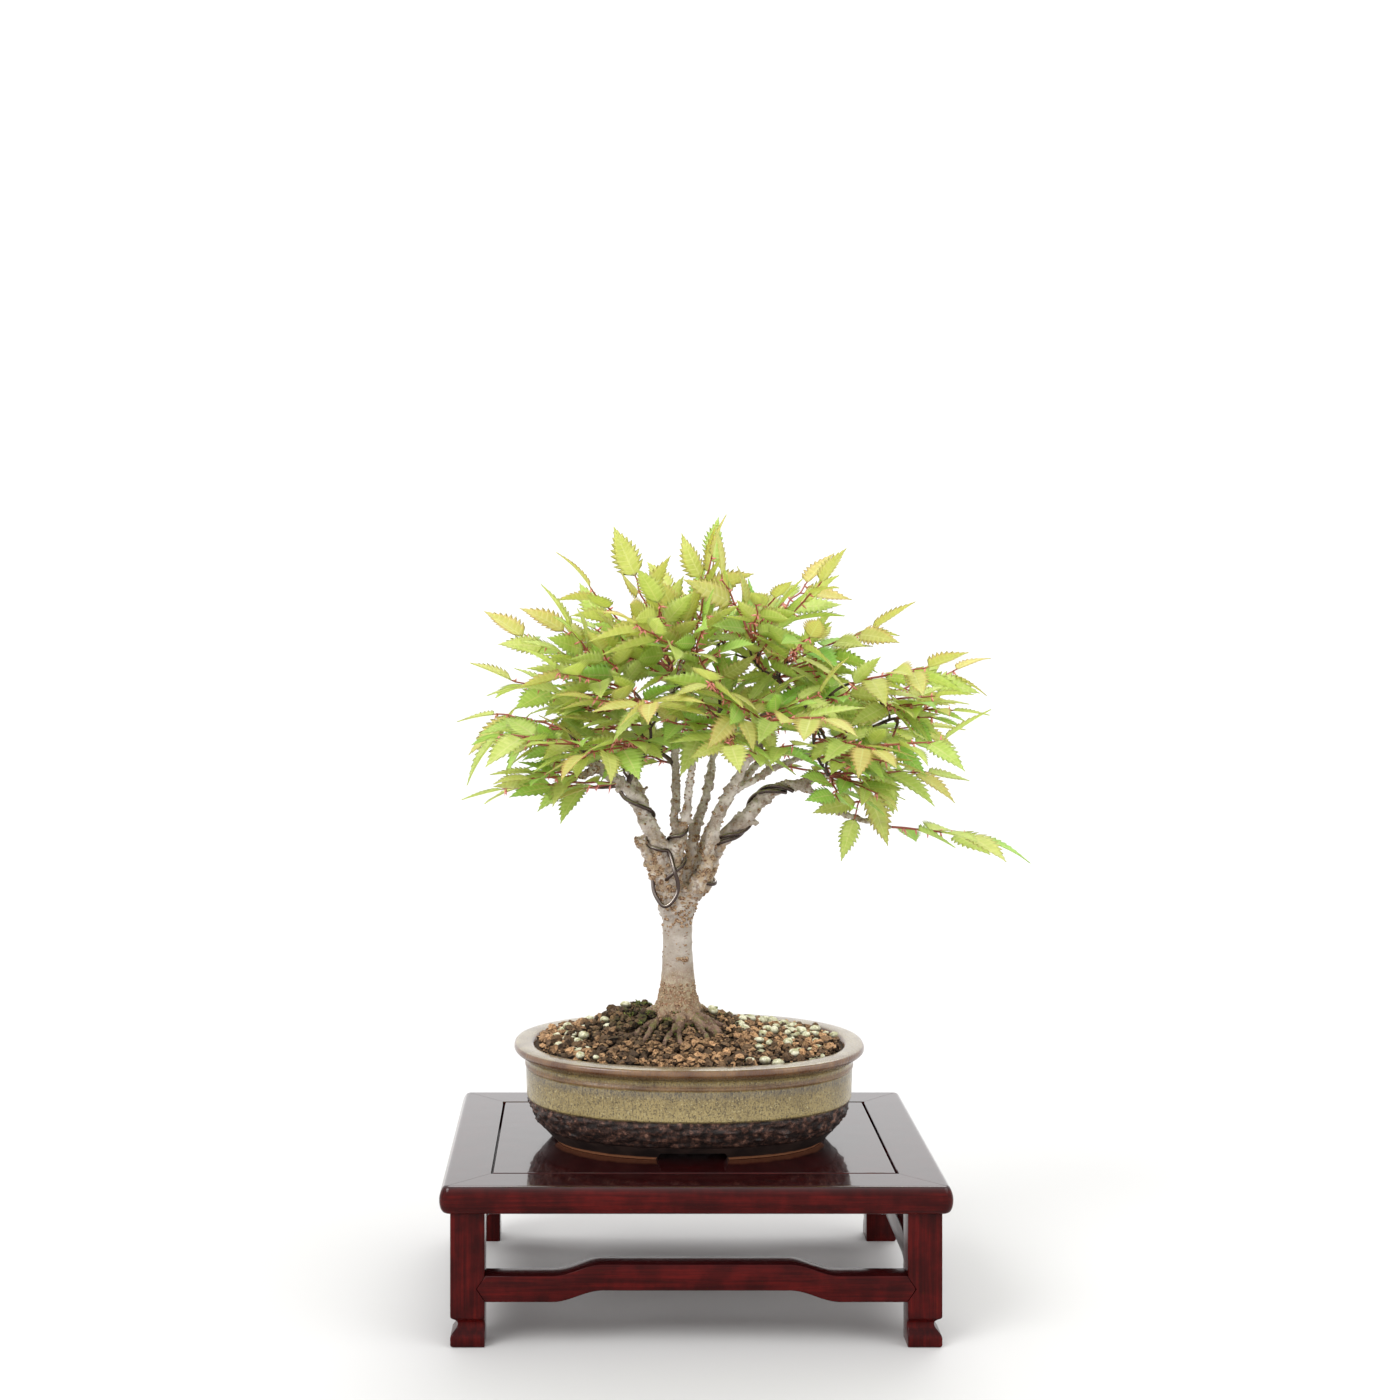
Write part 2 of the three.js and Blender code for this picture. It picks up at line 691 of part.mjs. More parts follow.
// One shoot whose end leaf reaches the tip: its zigzag joints, and a leaf at each.
function planShoot(tip, heading, joints, draw) {
  const outward = new THREE.Vector3(tip.x - CROWN.middle, tip.y, 0).normalize();
  const sky = outward.multiplyScalar(SHOOT.tilt).add(new THREE.Vector3(0, 0, 1));
  const side = heading.clone().cross(sky).normalize();
  const lift = side.clone().cross(heading);
  const length = SHOOT.length * draw(0.85, 1.05);
  const endLeaf = draw(...LEAF.length) * 0.9;
  const base = tip.clone().addScaledVector(heading, -length - endLeaf);
  const points = [];
  for (let i = 0; i <= joints; i += 1) {
    const share = i / joints;
    const swing = i === 0 ? 0 : SHOOT.zigzag * (i % 2 === 0 ? 1 : -1);
    const point = base.clone().addScaledVector(heading, length * share);
    point.addScaledVector(side, swing).addScaledVector(lift, -SHOOT.sag * length * share * share);
    points.push(point);
  }
  const leaves = points.slice(1).map((root, i) => {
    const last = i === joints - 1;
    const hand = i % 2 === 0 ? 1 : -1;
    const share = (i + 1) / joints;
    const swing = last ? draw(-0.2, 0.2) : hand * draw(0.75, 1.15) * (1.15 - 0.4 * share);
    const size = last ? endLeaf : draw(...LEAF.length) * (0.78 + 0.22 * Math.sin(Math.PI * share));
    return {
      root,
      heading,
      side,
      lift,
      hand,
      swing,
      length: size,
      halfWidth: (size * draw(...LEAF.slimness)) / 2,
      pitch: last ? draw(...LEAF.endPitch) : draw(...LEAF.pitch),
      roll: draw(-0.6, 0.6),
      fold: draw(0.1, 0.35),
      arch: draw(0.02, 0.28),
    };
  });
  return { base, heading, side, lift, points, leaves };
}

// The frame of a leaf: which way it runs, its left-hand side, and the way its upper face looks.
function leafFrame(leaf, lean) {
  const flat = leaf.heading.clone().multiplyScalar(Math.cos(leaf.swing));
  flat.addScaledVector(leaf.side, -Math.sin(leaf.swing));
  const pitch = leaf.pitch + lean;
  const out = flat.clone().multiplyScalar(Math.cos(pitch)).addScaledVector(leaf.lift, Math.sin(pitch));
  const level = flat.clone().multiplyScalar(-Math.sin(pitch)).addScaledVector(leaf.lift, Math.cos(pitch));
  const across = level.clone().cross(out);
  const face = level.clone().multiplyScalar(Math.cos(leaf.roll)).addScaledVector(across, Math.sin(leaf.roll));
  return { out, face, left: face.clone().cross(out) };
}

// Adds a toothed blade to a list of corners and triangles: a fan above and a fan below that share
// the toothed rim and thin out to it. Both grow out of the socket, which is an opening in the
// stem: its upper corners, from the blade's left to its right, and its lower ones.
function addBlade(corners, triangles, leaf, lean, { upper, lower }, grow = 0) {
  const { out, face, left } = leafFrame(leaf, lean);
  const place = (along, across, above) => {
    const bend = leaf.fold * Math.abs(across) - (leaf.arch * along ** 2) / leaf.length;
    const point = leaf.root.clone().addScaledVector(out, along).addScaledVector(left, across);
    point.addScaledVector(face, bend + above);
    return corners.push(point) - 1;
  };
  const middle = LEAF.middle * leaf.length;
  const above = place(middle, 0, LEAF.thickness / 2 + grow);
  const below = place(middle, 0, -LEAF.thickness / 2 - grow);
  const tip = place(leaf.length + grow, 0, 0);
  const edge = (hand) =>
    LEAF.edge.map(([share, width]) => place(share * leaf.length, hand * (width * leaf.halfWidth + grow), 0));
  const rim = [...edge(-1), tip, ...edge(1).reverse()];
  const fan = (centre, loop) => {
    loop.forEach((corner, i) => triangles.push([centre, corner, loop[(i + 1) % loop.length]]));
  };
  fan(above, [...rim, ...upper]);
  fan(below, [...rim, ...lower].reverse());
  if (upper[0] !== lower[0]) {
    triangles.push([lower[0], upper[0], rim.at(-1)], [upper.at(-1), lower.at(-1), rim[0]]);
  }
}

// The rings of a shoot's three-sided stem: one pair at each joint, and one at either end. Each
// ring's corners are low on the left, on top, and low on the right.
function stemRings({ points, heading, side, lift }) {
  const corners = [];
  const ring = (point, along) => {
    for (const angle of [210, 90, -30]) {
      const radians = THREE.MathUtils.degToRad(angle);
      const corner = point.clone().addScaledVector(heading, along);
      corner.addScaledVector(side, Math.cos(radians) * SHOOT.radius);
      corners.push(corner.addScaledVector(lift, Math.sin(radians) * SHOOT.radius));
    }
  };
  ring(points[0], 0);
  for (const point of points.slice(1, -1)) {
    ring(point, -LEAF.stalkWidth / 2);
    ring(point, LEAF.stalkWidth / 2);
  }
  ring(points.at(-1), 0);
  return corners;
}

// Where the leaf of a joint grows out of the stem, as the numbers of the rings' corners.
function socketOf(joint, joints, hand) {
  if (joint === joints) {
    const [left, top, right] = [0, 1, 2].map((corner) => 3 * (2 * joints - 1) + corner);
    return { upper: [left, top, right], lower: [left, right] };
  }
  const rear = 3 * (2 * joint - 1);
  const front = rear + 3;
  if (hand > 0) return { upper: [rear + 1, front + 1], lower: [rear, front] };
  return { upper: [front + 1, rear + 1], lower: [front + 2, rear + 2] };
}

// A closed blade on its own, grown by a clearance, for finding out what it would touch.
function trialBlade(stem, leaf, lean, socket, grow) {
  const corners = [...stem];
  const triangles = [];
  addBlade(corners, triangles, leaf, lean, socket, grow);
  const loop = [...new Set([...[...socket.upper].reverse(), ...socket.lower])];
  for (let i = 1; i + 1 < loop.length; i += 1) triangles.push([loop[0], loop[i], loop[i + 1]]);
  const used = [...new Set(triangles.flat())];
  const numbers = new Map(used.map((corner, i) => [corner, i]));
  const kept = used.map((corner) => corners[corner]);
  return solidFrom(kept.flatMap((corner) => corner.toArray()), triangles.flat().map((corner) => numbers.get(corner)));
}

// The whole shoot: its stem with a blade in the socket of every leaf that was kept.
function shootSolid(shoot, kept) {
  const corners = stemRings(shoot);
  const triangles = [[0, 2, 1]];
  const joints = shoot.leaves.length;
  const rings = corners.length / 3;
  const open = new Set();
  shoot.leaves.forEach((leaf, i) => {
    if (kept[i] === null) return;
    const socket = socketOf(i + 1, joints, leaf.hand);
    addBlade(corners, triangles, leaf, kept[i], socket);
    open.add(`${2 * i + 1} ${leaf.hand > 0 ? 0 : 1}`);
  });
  for (let ring = 0; ring + 1 < rings; ring += 1) {
    for (let corner = 0; corner < 3; corner += 1) {
      if (open.has(`${ring} ${corner}`)) continue;
      const [a, b] = [3 * ring + corner, 3 * ring + ((corner + 1) % 3)];
      triangles.push([a, b, b + 3], [a, b + 3, a + 3]);
    }
  }
  if (kept.at(-1) === null) {
    const end = 3 * (rings - 1);
    triangles.push([end, end + 1, end + 2]);
  }
  return solidFrom(corners.flatMap((corner) => corner.toArray()), triangles.flat());
}

// How far out of its way a branch would go from a place on the wood to a shoot's base.
function detour(node, base) {
  const way = base.clone().sub(node.point);
  const distance = way.length();
  const turn = 1 - way.dot(node.along) / distance;
  const above = Math.max(node.point.z - base.z, 0);
  return distance * (1 + 0.9 * turn) + 2 * above;
}

// The one of some choices that costs least.
function cheapest(choices, cost) {
  return choices.reduce((best, choice) => (cost(choice) < cost(best) ? choice : best));
}

// Branches from the limbs to every shoot. Each limb carries on into one shoot; the others are
// taken nearest first, so that later branches may start on earlier ones. Each starts at a ring of
// its parent's solid, a little behind it, to join it.
function planBranches(limbs, shoots) {
  const nodes = [];
  const addNodes = (path, first, last, rings) => {
    for (let ring = first; ring <= last; ring += 1) {
      const along = path.alongAt(ring / rings);
      const point = path.pointAt(ring / rings).addScaledVector(along, -SHOOT.radius);
      nodes.push({ point, along, radius: path.radiusAt(ring / rings) });
    }
  };
  const branchFrom = ({ point, along, radius }, shoot) => {
    const end = shoot.base.clone().addScaledVector(shoot.heading, -FIT);
    const thick = Math.min(0.85 * radius, 1.5);
    const path = branchPath(point, along, end, shoot.heading, thick, SHOOT.radius);
    addNodes(path, 1, SHOOT.branchSteps - 1, SHOOT.branchSteps);
    return path;
  };
  const waiting = [...shoots].sort((a, b) => a.base.distanceTo(FORK) - b.base.distanceTo(FORK));
  const ends = [];
  for (const [name, path] of Object.entries(limbs)) {
    if (name === "stub") continue;
    addNodes(path, 2, path.last, path.last);
    ends.push(nodes.at(-1));
  }
  const branches = ends.map((end) => {
    const shoot = cheapest(waiting, ({ base }) => detour(end, base));
    waiting.splice(waiting.indexOf(shoot), 1);
    return branchFrom(end, shoot);
  });
  for (const shoot of waiting) {
    branches.push(branchFrom(cheapest(nodes, (node) => detour(node, shoot.base)), shoot));
  }
  return branches;
}

// Points wound round a line from one share of it to another. Turns are positive when the wire
// crosses the front from left to right on its way up; the phase is 0 at the left.
function windRound(path, from, to, turns, phase) {
  const steps = Math.ceil(Math.abs(turns) * WIRE.stepsPerTurn);
  const points = [];
  for (let i = 0; i <= steps; i += 1) {
    const share = i / steps;
    const t = from + (to - from) * share;
    const along = path.alongAt(t);
    const left = along.clone().cross(new THREE.Vector3(0, 1, 0)).normalize();
    const front = along.clone().cross(left);
    const angle = 2 * Math.PI * (phase + turns * share);
    const distance = path.radiusAt(t) + WIRE.radius + WIRE.stand;
    const point = path.pointAt(t).addScaledVector(left, distance * Math.cos(angle));
    points.push(point.addScaledVector(front, distance * Math.sin(angle)));
  }
  return points;
}

// The three wires: loops set by hand near the fork, and windings up the limbs.
function wirePaths(limbs) {
  const near = (x, y, z) => new THREE.Vector3(x, y, z).add(FORK);
  const left = [
    near(-12.4, -5.4, 14),
    near(-11.8, -7.4, 6.5),
    near(-10, -9, 2.3),
    near(-7.4, -10.2, -0.9),
    near(-4.4, -10.6, -0.3),
    near(-1.5, -10.4, 3),
    near(0, -9.8, 7),
    near(-0.2, -10.6, 10.6),
    near(-1.6, -11, 15.5),
    ...windRound(limbs.left, 0.27, 0.7, -1.46, 0.38),
  ];
  const centre = windRound(limbs.centre, 0.07, 0.42, 1.75, 0.02);
  const right = [
    ...windRound(limbs.farRight, 0.075, 0.13, 1.1, 0),
    ...windRound(limbs.farRight, 0.17, 0.6, 1.5, -0.1),
  ];
  return { left, centre, right };
}

function wireSolid(points, fatter = 0) {
  const rows = points.map((point) => [...point.toArray(), WIRE.radius]);
  return solidOf(stem(line(rows), WIRE.sides, rows.length - 1, { fatter }));
}

// True when a solid meets none of the others.
function isClear(solid, others) {
  const box = solid.boundingBox();
  return others.every((other) => {
    for (let axis = 0; axis < 3; axis += 1) {
      if (box.min[axis] > other.box.max[axis] || box.max[axis] < other.box.min[axis]) return true;
    }
    return solid.intersect(other.solid).isEmpty();
  });
}

const boxed = (solid) => ({ solid, box: solid.boundingBox() });
const joined = (solids) => solids.reduce((whole, solid) => whole.add(solid));

// Trunk and roots, fatter all over by a clearance where the soil's sockets are cut for them.
function trunkAndRoots(fatter) {
  const trunk = line(TRUNK, FORK);
  const solids = [solidOf(stem(trunk, SIDES.trunk, trunk.last, { uneven: 0.05, fatter }))];
  ROOTS.bearings.forEach((degrees, i) => {
    const path = rootPath(THREE.MathUtils.degToRad(degrees));
    const options = { uneven: 0.12, fatter, seed: 40 + i };
    solids.push(solidOf(stem(path, SIDES.root, ROOTS.rows.length - 1, options)));
  });
  return joined(solids);
}

// Leaves are kept at the first lean that clears everything, and left out where none does.
function keepLeaves(shoots, solids) {
  const stems = shoots.map((shoot) => boxed(shootSolid(shoot, shoot.leaves.map(() => null))));
  const blades = [];
  return shoots.map((shoot, i) => {
    const fixed = [...solids.map(boxed), ...stems.filter((_, k) => k !== i)];
    const rings = stemRings(shoot);
    return shoot.leaves.map((leaf, k) => {
      const socket = socketOf(k + 1, shoot.leaves.length, leaf.hand);
      const isFree = (lean) => isClear(trialBlade(rings, leaf, lean, socket, LEAF.clearance), [...fixed, ...blades]);
      const lean = LEAF.leans.find(isFree);
      if (lean === undefined) return null;
      blades.push(boxed(trialBlade(rings, leaf, lean, socket, 0)));
      return lean;
    });
  });
}

function addTree() {
  const limbs = Object.fromEntries(Object.entries(LIMBS).map(([name, rows]) => [name, line(rows, FORK)]));
  const shoots = planShoots();
  const parts = [trunkAndRoots(0)];
  Object.values(limbs).forEach((path, i) => {
    parts.push(solidOf(stem(path, SIDES.limb, path.last, { uneven: 0.08, seed: 20 + i })));
  });
  for (const path of planBranches(limbs, shoots)) {
    parts.push(solidOf(stem(path, SIDES.branch, SHOOT.branchSteps)));
  }
  const wires = wirePaths(limbs);
  const cuts = Object.values(wires).map((points) => wireSolid(points, FIT));
  const wood = joined(parts).subtract(joined(cuts));
  addPiece("zelkova_wood", wood, "bark");
  addSoil(trunkAndRoots(FIT));

  const solids = [wood];
  for (const [name, points] of Object.entries(wires)) {
    const wire = wireSolid(points);
    addPiece(`training_wire_${name}`, wire, "wire");
    solids.push(wire);
  }
  const kept = keepLeaves(shoots, solids);
  shoots.forEach((shoot, i) => {
    addPiece(`spray_${String(i + 1).padStart(2, "0")}`, shootSolid(shoot, kept[i]), "leaf");
  });
}

addStand();
addPot();
addTree();

// The origin is the middle of the whole thing's base.
const bounds = new THREE.Box3().setFromObject(tree);
const middle = bounds.getCenter(new THREE.Vector3());
tree.position.set(-middle.x, -middle.y, 0);

export default tree;
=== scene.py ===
# %% [markdown]
# # A Japanese zelkova bonsai
#
# This lesson dresses a plain CAD model of a small potted tree: a broom-shaped zelkova with
# toothed leaves, in an oval glazed pot of loose soil, on a low lacquered stand. The CAD model
# fixes every size and place. Blender adds what a maker would call the finish.

# %% Load the fixed frame
import math

import bmesh
import bpy
import numpy as np
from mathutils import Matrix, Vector, noise
from mathutils.bvhtree import BVHTree


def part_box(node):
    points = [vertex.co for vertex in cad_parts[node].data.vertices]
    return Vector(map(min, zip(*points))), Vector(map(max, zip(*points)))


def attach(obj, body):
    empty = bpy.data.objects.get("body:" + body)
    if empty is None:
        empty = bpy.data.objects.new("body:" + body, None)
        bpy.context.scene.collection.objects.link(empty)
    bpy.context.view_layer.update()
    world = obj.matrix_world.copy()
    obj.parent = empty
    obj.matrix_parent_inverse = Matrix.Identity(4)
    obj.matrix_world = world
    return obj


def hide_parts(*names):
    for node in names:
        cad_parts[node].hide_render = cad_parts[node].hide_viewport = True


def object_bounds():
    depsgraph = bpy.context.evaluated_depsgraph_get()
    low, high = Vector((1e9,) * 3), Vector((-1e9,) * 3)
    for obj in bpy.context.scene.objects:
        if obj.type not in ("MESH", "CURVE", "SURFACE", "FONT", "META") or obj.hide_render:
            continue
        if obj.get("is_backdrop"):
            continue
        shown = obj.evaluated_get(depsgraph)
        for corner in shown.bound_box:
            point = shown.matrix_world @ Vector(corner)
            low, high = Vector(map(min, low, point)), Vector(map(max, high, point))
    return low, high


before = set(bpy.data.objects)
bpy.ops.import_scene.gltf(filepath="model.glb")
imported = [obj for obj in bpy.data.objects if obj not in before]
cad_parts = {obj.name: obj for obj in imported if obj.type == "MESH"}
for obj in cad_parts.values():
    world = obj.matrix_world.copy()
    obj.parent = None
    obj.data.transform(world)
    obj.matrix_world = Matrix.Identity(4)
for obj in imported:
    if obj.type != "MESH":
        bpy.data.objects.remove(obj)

cad_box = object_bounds()
print("CAD box in metres:", [round(v, 4) for corner in cad_box for v in corner])

# %% [markdown]
# ## Millimetres from the middle of the stand
#
# The real pieces are all placed from the middle of the stand, in millimetres, while Blender
# works in metres from the middle of the whole object. One small function turns the first into
# the second, so that every number below can be read with a ruler in mind.

# %% The stand's middle
MM = 0.001
left_leg, right_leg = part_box("stand_leg_front_left"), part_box("stand_leg_back_right")
STAND_MIDDLE = np.array([(left_leg[0][i] + right_leg[1][i]) / 2 / MM for i in (0, 1)] + [0.0])
print("stand's middle, mm:", STAND_MIDDLE.round(2))


def vector(*values):
    return np.array(values, float)


def unit(v):
    return v / np.linalg.norm(v)


# %% [markdown]
# ## Chance that repeats
#
# Leaves, grains and moss should look scattered, yet come out the same in every render. A small
# generator with a seed does that. It is the same one that placed the leaves of the CAD model,
# so the fine leaves below can grow exactly where the plain ones are.


# %% A seeded stream of numbers
def stream(seed):
    modulus = 2147483647
    state = (seed * 7919 + 104729) % modulus

    def draw(low, high):
        nonlocal state
        state = (state * 16807) % modulus
        return low + (high - low) * state / modulus

    draw(0, 1)
    draw(0, 1)
    return draw


# %% [markdown]
# ## Meshes from arrays
#
# Most pieces here are made as arrays of corners and faces, which is quick even for thousands of
# leaves. A heap collects them, remembers a material, a tint and a flat coordinate for each
# face's corners, and becomes one named piece at the end.


# %% A heap of corners and faces
def add_object(name, data):
    obj = bpy.data.objects.new(name, data)
    bpy.context.scene.collection.objects.link(obj)
    return obj


class Heap:
    def __init__(self):
        self.corners, self.faces, self.materials, self.uvs, self.tints = [], [], [], [], []
        self.count = 0

    def add(self, corners, faces, material=0, uvs=None, tint=(0.5, 0.5)):
        corners = np.asarray(corners, float)
        self.faces += [tuple(int(i) + self.count for i in face) for face in faces]
        self.materials += [material] * len(faces)
        self.corners.append(corners)
        self.uvs.append(np.zeros((len(corners), 2)) if uvs is None else np.asarray(uvs, float))
        self.tints.append(np.tile(tint, (len(corners), 1)))
        self.count += len(corners)

    def piece(self, name, slot, materials, replaces=(), smooth=True):
        mesh = bpy.data.meshes.new(name)
        corners = (np.vstack(self.corners) + STAND_MIDDLE) * MM
        mesh.from_pydata(corners.tolist(), [], self.faces)
        for finish in materials:
            mesh.materials.append(finish.material)
        mesh.polygons.foreach_set("material_index", self.materials)
        mesh.polygons.foreach_set("use_smooth", [smooth] * len(self.faces))
        loops = np.empty(len(mesh.loops), int)
        mesh.loops.foreach_get("vertex_index", loops)
        for layer_name, values in (("shape", self.uvs), ("tint", self.tints)):
            layer = mesh.uv_layers.new(name=layer_name)
            layer.data.foreach_set("uv", np.vstack(values)[loops].ravel())
        mesh.update()
        obj = add_object(name, mesh)
        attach(obj, "root")
        if replaces:
            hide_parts(*replaces)
        triangles = sum(len(face) - 2 for face in self.faces)
        print(f"{name}: {triangles} triangles")
        return obj


def strips(rows, columns, closed=False):
    """Faces of a grid of corners; a closed grid joins its last column to its first."""
    faces = []
    for row in range(rows - 1):
        for column in range(columns if closed else columns - 1):
            a = row * columns + column
            b = row * columns + (column + 1) % columns
            faces.append((a, b, b + columns, a + columns))
    return faces


def closed_rings(rings, sides):
    """Faces of a stack of rings with a flat cap at either end."""
    faces = strips(rings, sides, closed=True)
    return faces + [tuple(range(sides))[::-1], tuple(range((rings - 1) * sides, rings * sides))]


def tube(points, radii, sides):
    """A closed tube round a line of points."""
    points, radii = np.asarray(points, float), np.asarray(radii, float)
    along = np.gradient(points, axis=0)
    along /= np.linalg.norm(along, axis=1)[:, None]
    side = vector(0, 1, 0) if abs(along[0][1]) < 0.9 else vector(1, 0, 0)
    angles = 2 * np.pi * np.arange(sides) / sides
    rings = []
    for point, direction, radius in zip(points, along, radii):
        side = unit(side - side.dot(direction) * direction)
        over = np.cross(direction, side)
        circle = np.outer(np.cos(angles), side) + np.outer(np.sin(angles), over)
        rings.append(point + radius * circle)
    return np.vstack(rings), closed_rings(len(points), sides)


# %% [markdown]
# ## Materials as sums
#
# A material is a small calculation on every point of a surface. Blender draws it as nodes, but
# it reads better as sums. The first class wraps a node's socket, so that `1 - mask * 0.5` adds
# the Math nodes by itself. The second makes every other node, and the third adds what a surface
# needs: noise, soft steps between two values, colours over one another, and relief.


# %% Sockets that can be added and multiplied
class Socket:
    def __init__(self, graph, output):
        self.graph, self.output = graph, output

    def __getitem__(self, name):
        return Socket(self.graph, self.output.node.outputs[name])

    def __add__(self, other):
        return self.graph.math("ADD", self, other)

    def __sub__(self, other):
        return self.graph.math("SUBTRACT", self, other)

    def __rsub__(self, other):
        return self.graph.math("SUBTRACT", other, self)

    def __mul__(self, other):
        return self.graph.math("MULTIPLY", self, other)

    __radd__ = __add__
    __rmul__ = __mul__


class Graph:
    """A tree of shader nodes."""

    def __init__(self, tree):
        self.tree = tree
        tree.nodes.clear()

    def node(self, kind, settings=None, inputs=None, output=0):
        made = self.tree.nodes.new(kind)
        for key, value in (settings or {}).items():
            if key == "stops":
                ramp = made.color_ramp.elements
                while len(ramp) < len(value):
                    ramp.new(0.5)
                for stop, (place, colour) in zip(ramp, value):
                    stop.position, stop.color = place, (*colour, 1)
            else:
                setattr(made, key, value)
        for key, value in (inputs or {}).items():
            if isinstance(value, Socket):
                self.tree.links.new(value.output, made.inputs[key])
            else:
                made.inputs[key].default_value = value
        return Socket(self, made.outputs[output]) if made.outputs else None

    def math(self, operation, *values):
        return self.node("ShaderNodeMath", {"operation": operation}, dict(enumerate(values)))

    def split(self, vector):
        """A vector's parts, by the names X, Y and Z."""
        return self.node("ShaderNodeSeparateXYZ", {}, {0: vector})


class Finish(Graph):
    """A material, with its main shader made last."""

    def __init__(self, name):
        self.material = bpy.data.materials.new(name)
        self.material.use_nodes = True
        super().__init__(self.material.node_tree)

    def place(self, scale=1.0):
        """The place on the object, in millimetres times a scale."""
        spot = self.node("ShaderNodeTexCoord")["Object"]
        return self.node("ShaderNodeVectorMath", {"operation": "SCALE"}, {0: spot, "Scale": scale / MM})

    def squeezed(self, *scales):
        """The place with each axis scaled by itself, for stretched noise."""
        return self.node("ShaderNodeVectorMath", {"operation": "MULTIPLY"}, {0: self.place(), 1: scales})

    def height(self):
        """The height above the stand's feet, in millimetres."""
        return self.split(self.place())["Z"]

    def facing_up(self):
        """From -1 where the surface looks down to 1 where it looks up."""
        return self.split(self.node("ShaderNodeNewGeometry")["Normal"])["Z"]

    def stored(self, layer):
        """The two numbers that a heap has stored in a layer, by the names X and Y."""
        return self.split(self.node("ShaderNodeUVMap", {"uv_map": layer}))

    def noise(self, size, detail=3.0, rough=0.55, vector=None):
        """Cloudy noise from 0 to 1 whose lumps are about a size in millimetres."""
        where = vector or self.place()
        inputs = {"Vector": where, "Scale": 1 / size, "Detail": detail, "Roughness": rough}
        return self.node("ShaderNodeTexNoise", {}, inputs)["Fac"]

    def cells(self, size, feature="F1", vector=None):
        """The distance from the middles of cells of about a size in millimetres."""
        inputs = {"Vector": vector or self.place(), "Scale": 1 / size}
        return self.node("ShaderNodeTexVoronoi", {"feature": feature}, inputs)

    def step(self, value, low, high):
        """Rises smoothly from 0 to 1 while the value goes from low to high."""
        inputs = {"Value": value, "From Min": low, "From Max": high}
        return self.node("ShaderNodeMapRange", {"interpolation_type": "SMOOTHSTEP"}, inputs)

    def band(self, value, rise, fall):
        """1 between two soft edges and 0 outside them."""
        return self.step(value, *rise) * (1 - self.step(value, *fall))

    def mix(self, share, first, second):
        """A colour that goes from the first to the second as the share goes from 0 to 1."""
        colours = [c if isinstance(c, Socket) else (*c, 1) for c in (first, second)]
        return self.node("ShaderNodeMix", {"data_type": "RGBA"}, {0: share, 6: colours[0], 7: colours[1]}, 2)

    def paint(self, colour, *coats):
        """A colour under coats of others, each given by its share and its colour."""
        for share, coat in coats:
            colour = self.mix(share, colour, coat)
        return colour

    def bump(self, height, depth, strength=1.0):
        """Light and shade of a relief of a depth in millimetres."""
        inputs = {"Height": height, "Distance": depth * MM, "Strength": strength}
        return self.node("ShaderNodeBump", {}, inputs)["Normal"]

    def surface(self, inputs):
        return self.node("ShaderNodeBsdfPrincipled", {}, inputs)

    def end(self, shader):
        self.node("ShaderNodeOutputMaterial", {}, {"Surface": shader})

    def end_with_surface(self, inputs):
        self.end(self.surface(inputs))


# %% [markdown]
# ## Camera, floor and light
#
# The photo was taken from just below the height of the treetop, a metre away. The camera looks
# level, and its picture is shifted instead. The numbers come from fitting the stand's edges. The
# light is a bright pale room, nearly the same all round, with three broad suns for windows: the
# lacquer mirrors a soft white, and shadows stay faint.

# %% The camera
LENS = 54.0
EYE = vector(-43.3, -1026, 355.8)
SHIFT = (0.0714, -0.1021)

camera = add_object("camera", bpy.data.cameras.new("camera"))
camera.data.lens = LENS
camera.data.sensor_width = 36.0
camera.data.shift_x, camera.data.shift_y = SHIFT
camera.location = (EYE + STAND_MIDDLE) * MM
camera.rotation_euler = (math.pi / 2, 0, 0)
bpy.context.scene.camera = camera
bpy.context.scene.view_settings.view_transform = "Standard"

# %% The floor and the pale room
FLOOR_HALF = 60.0
floor_mesh = bpy.data.meshes.new("floor")
floor_corners = [(x * FLOOR_HALF, y * FLOOR_HALF, 0) for x, y in ((-1, -1), (1, -1), (1, 1), (-1, 1))]
floor_mesh.from_pydata(floor_corners, [], [(0, 1, 2, 3)])
floor = add_object("floor", floor_mesh)
paper = Finish("pale_floor")
paper.end_with_surface({"Base Color": (0.6, 0.596, 0.59, 1), "Roughness": 0.8})
floor_mesh.materials.append(paper.material)
floor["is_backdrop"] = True

# The walls' grey, from the front wall at 0 to the back wall and the ceiling at 1.
ROOM_WALLS = ((0.0, 0.77), (0.25, 0.8), (0.5, 0.84), (1.0, 0.85))
ROOM_STRENGTH = 1.38
room = bpy.data.worlds.new("pale_room")
bpy.context.scene.world = room
room.use_nodes = True
walls = Graph(room.node_tree)
way = walls.split(walls.node("ShaderNodeTexCoord")["Generated"])
backward = walls.math("MULTIPLY_ADD", way["Y"], 0.5, 0.5)
share = walls.math("MAXIMUM", backward, way["Z"])
stops = [(place, (grey, grey, grey)) for place, grey in ROOM_WALLS]
grey = walls.node("ShaderNodeValToRGB", {"stops": stops}, {0: share})
light = walls.node("ShaderNodeBackground", {}, {"Color": grey, "Strength": ROOM_STRENGTH})
walls.node("ShaderNodeOutputWorld", {}, {"Surface": light})

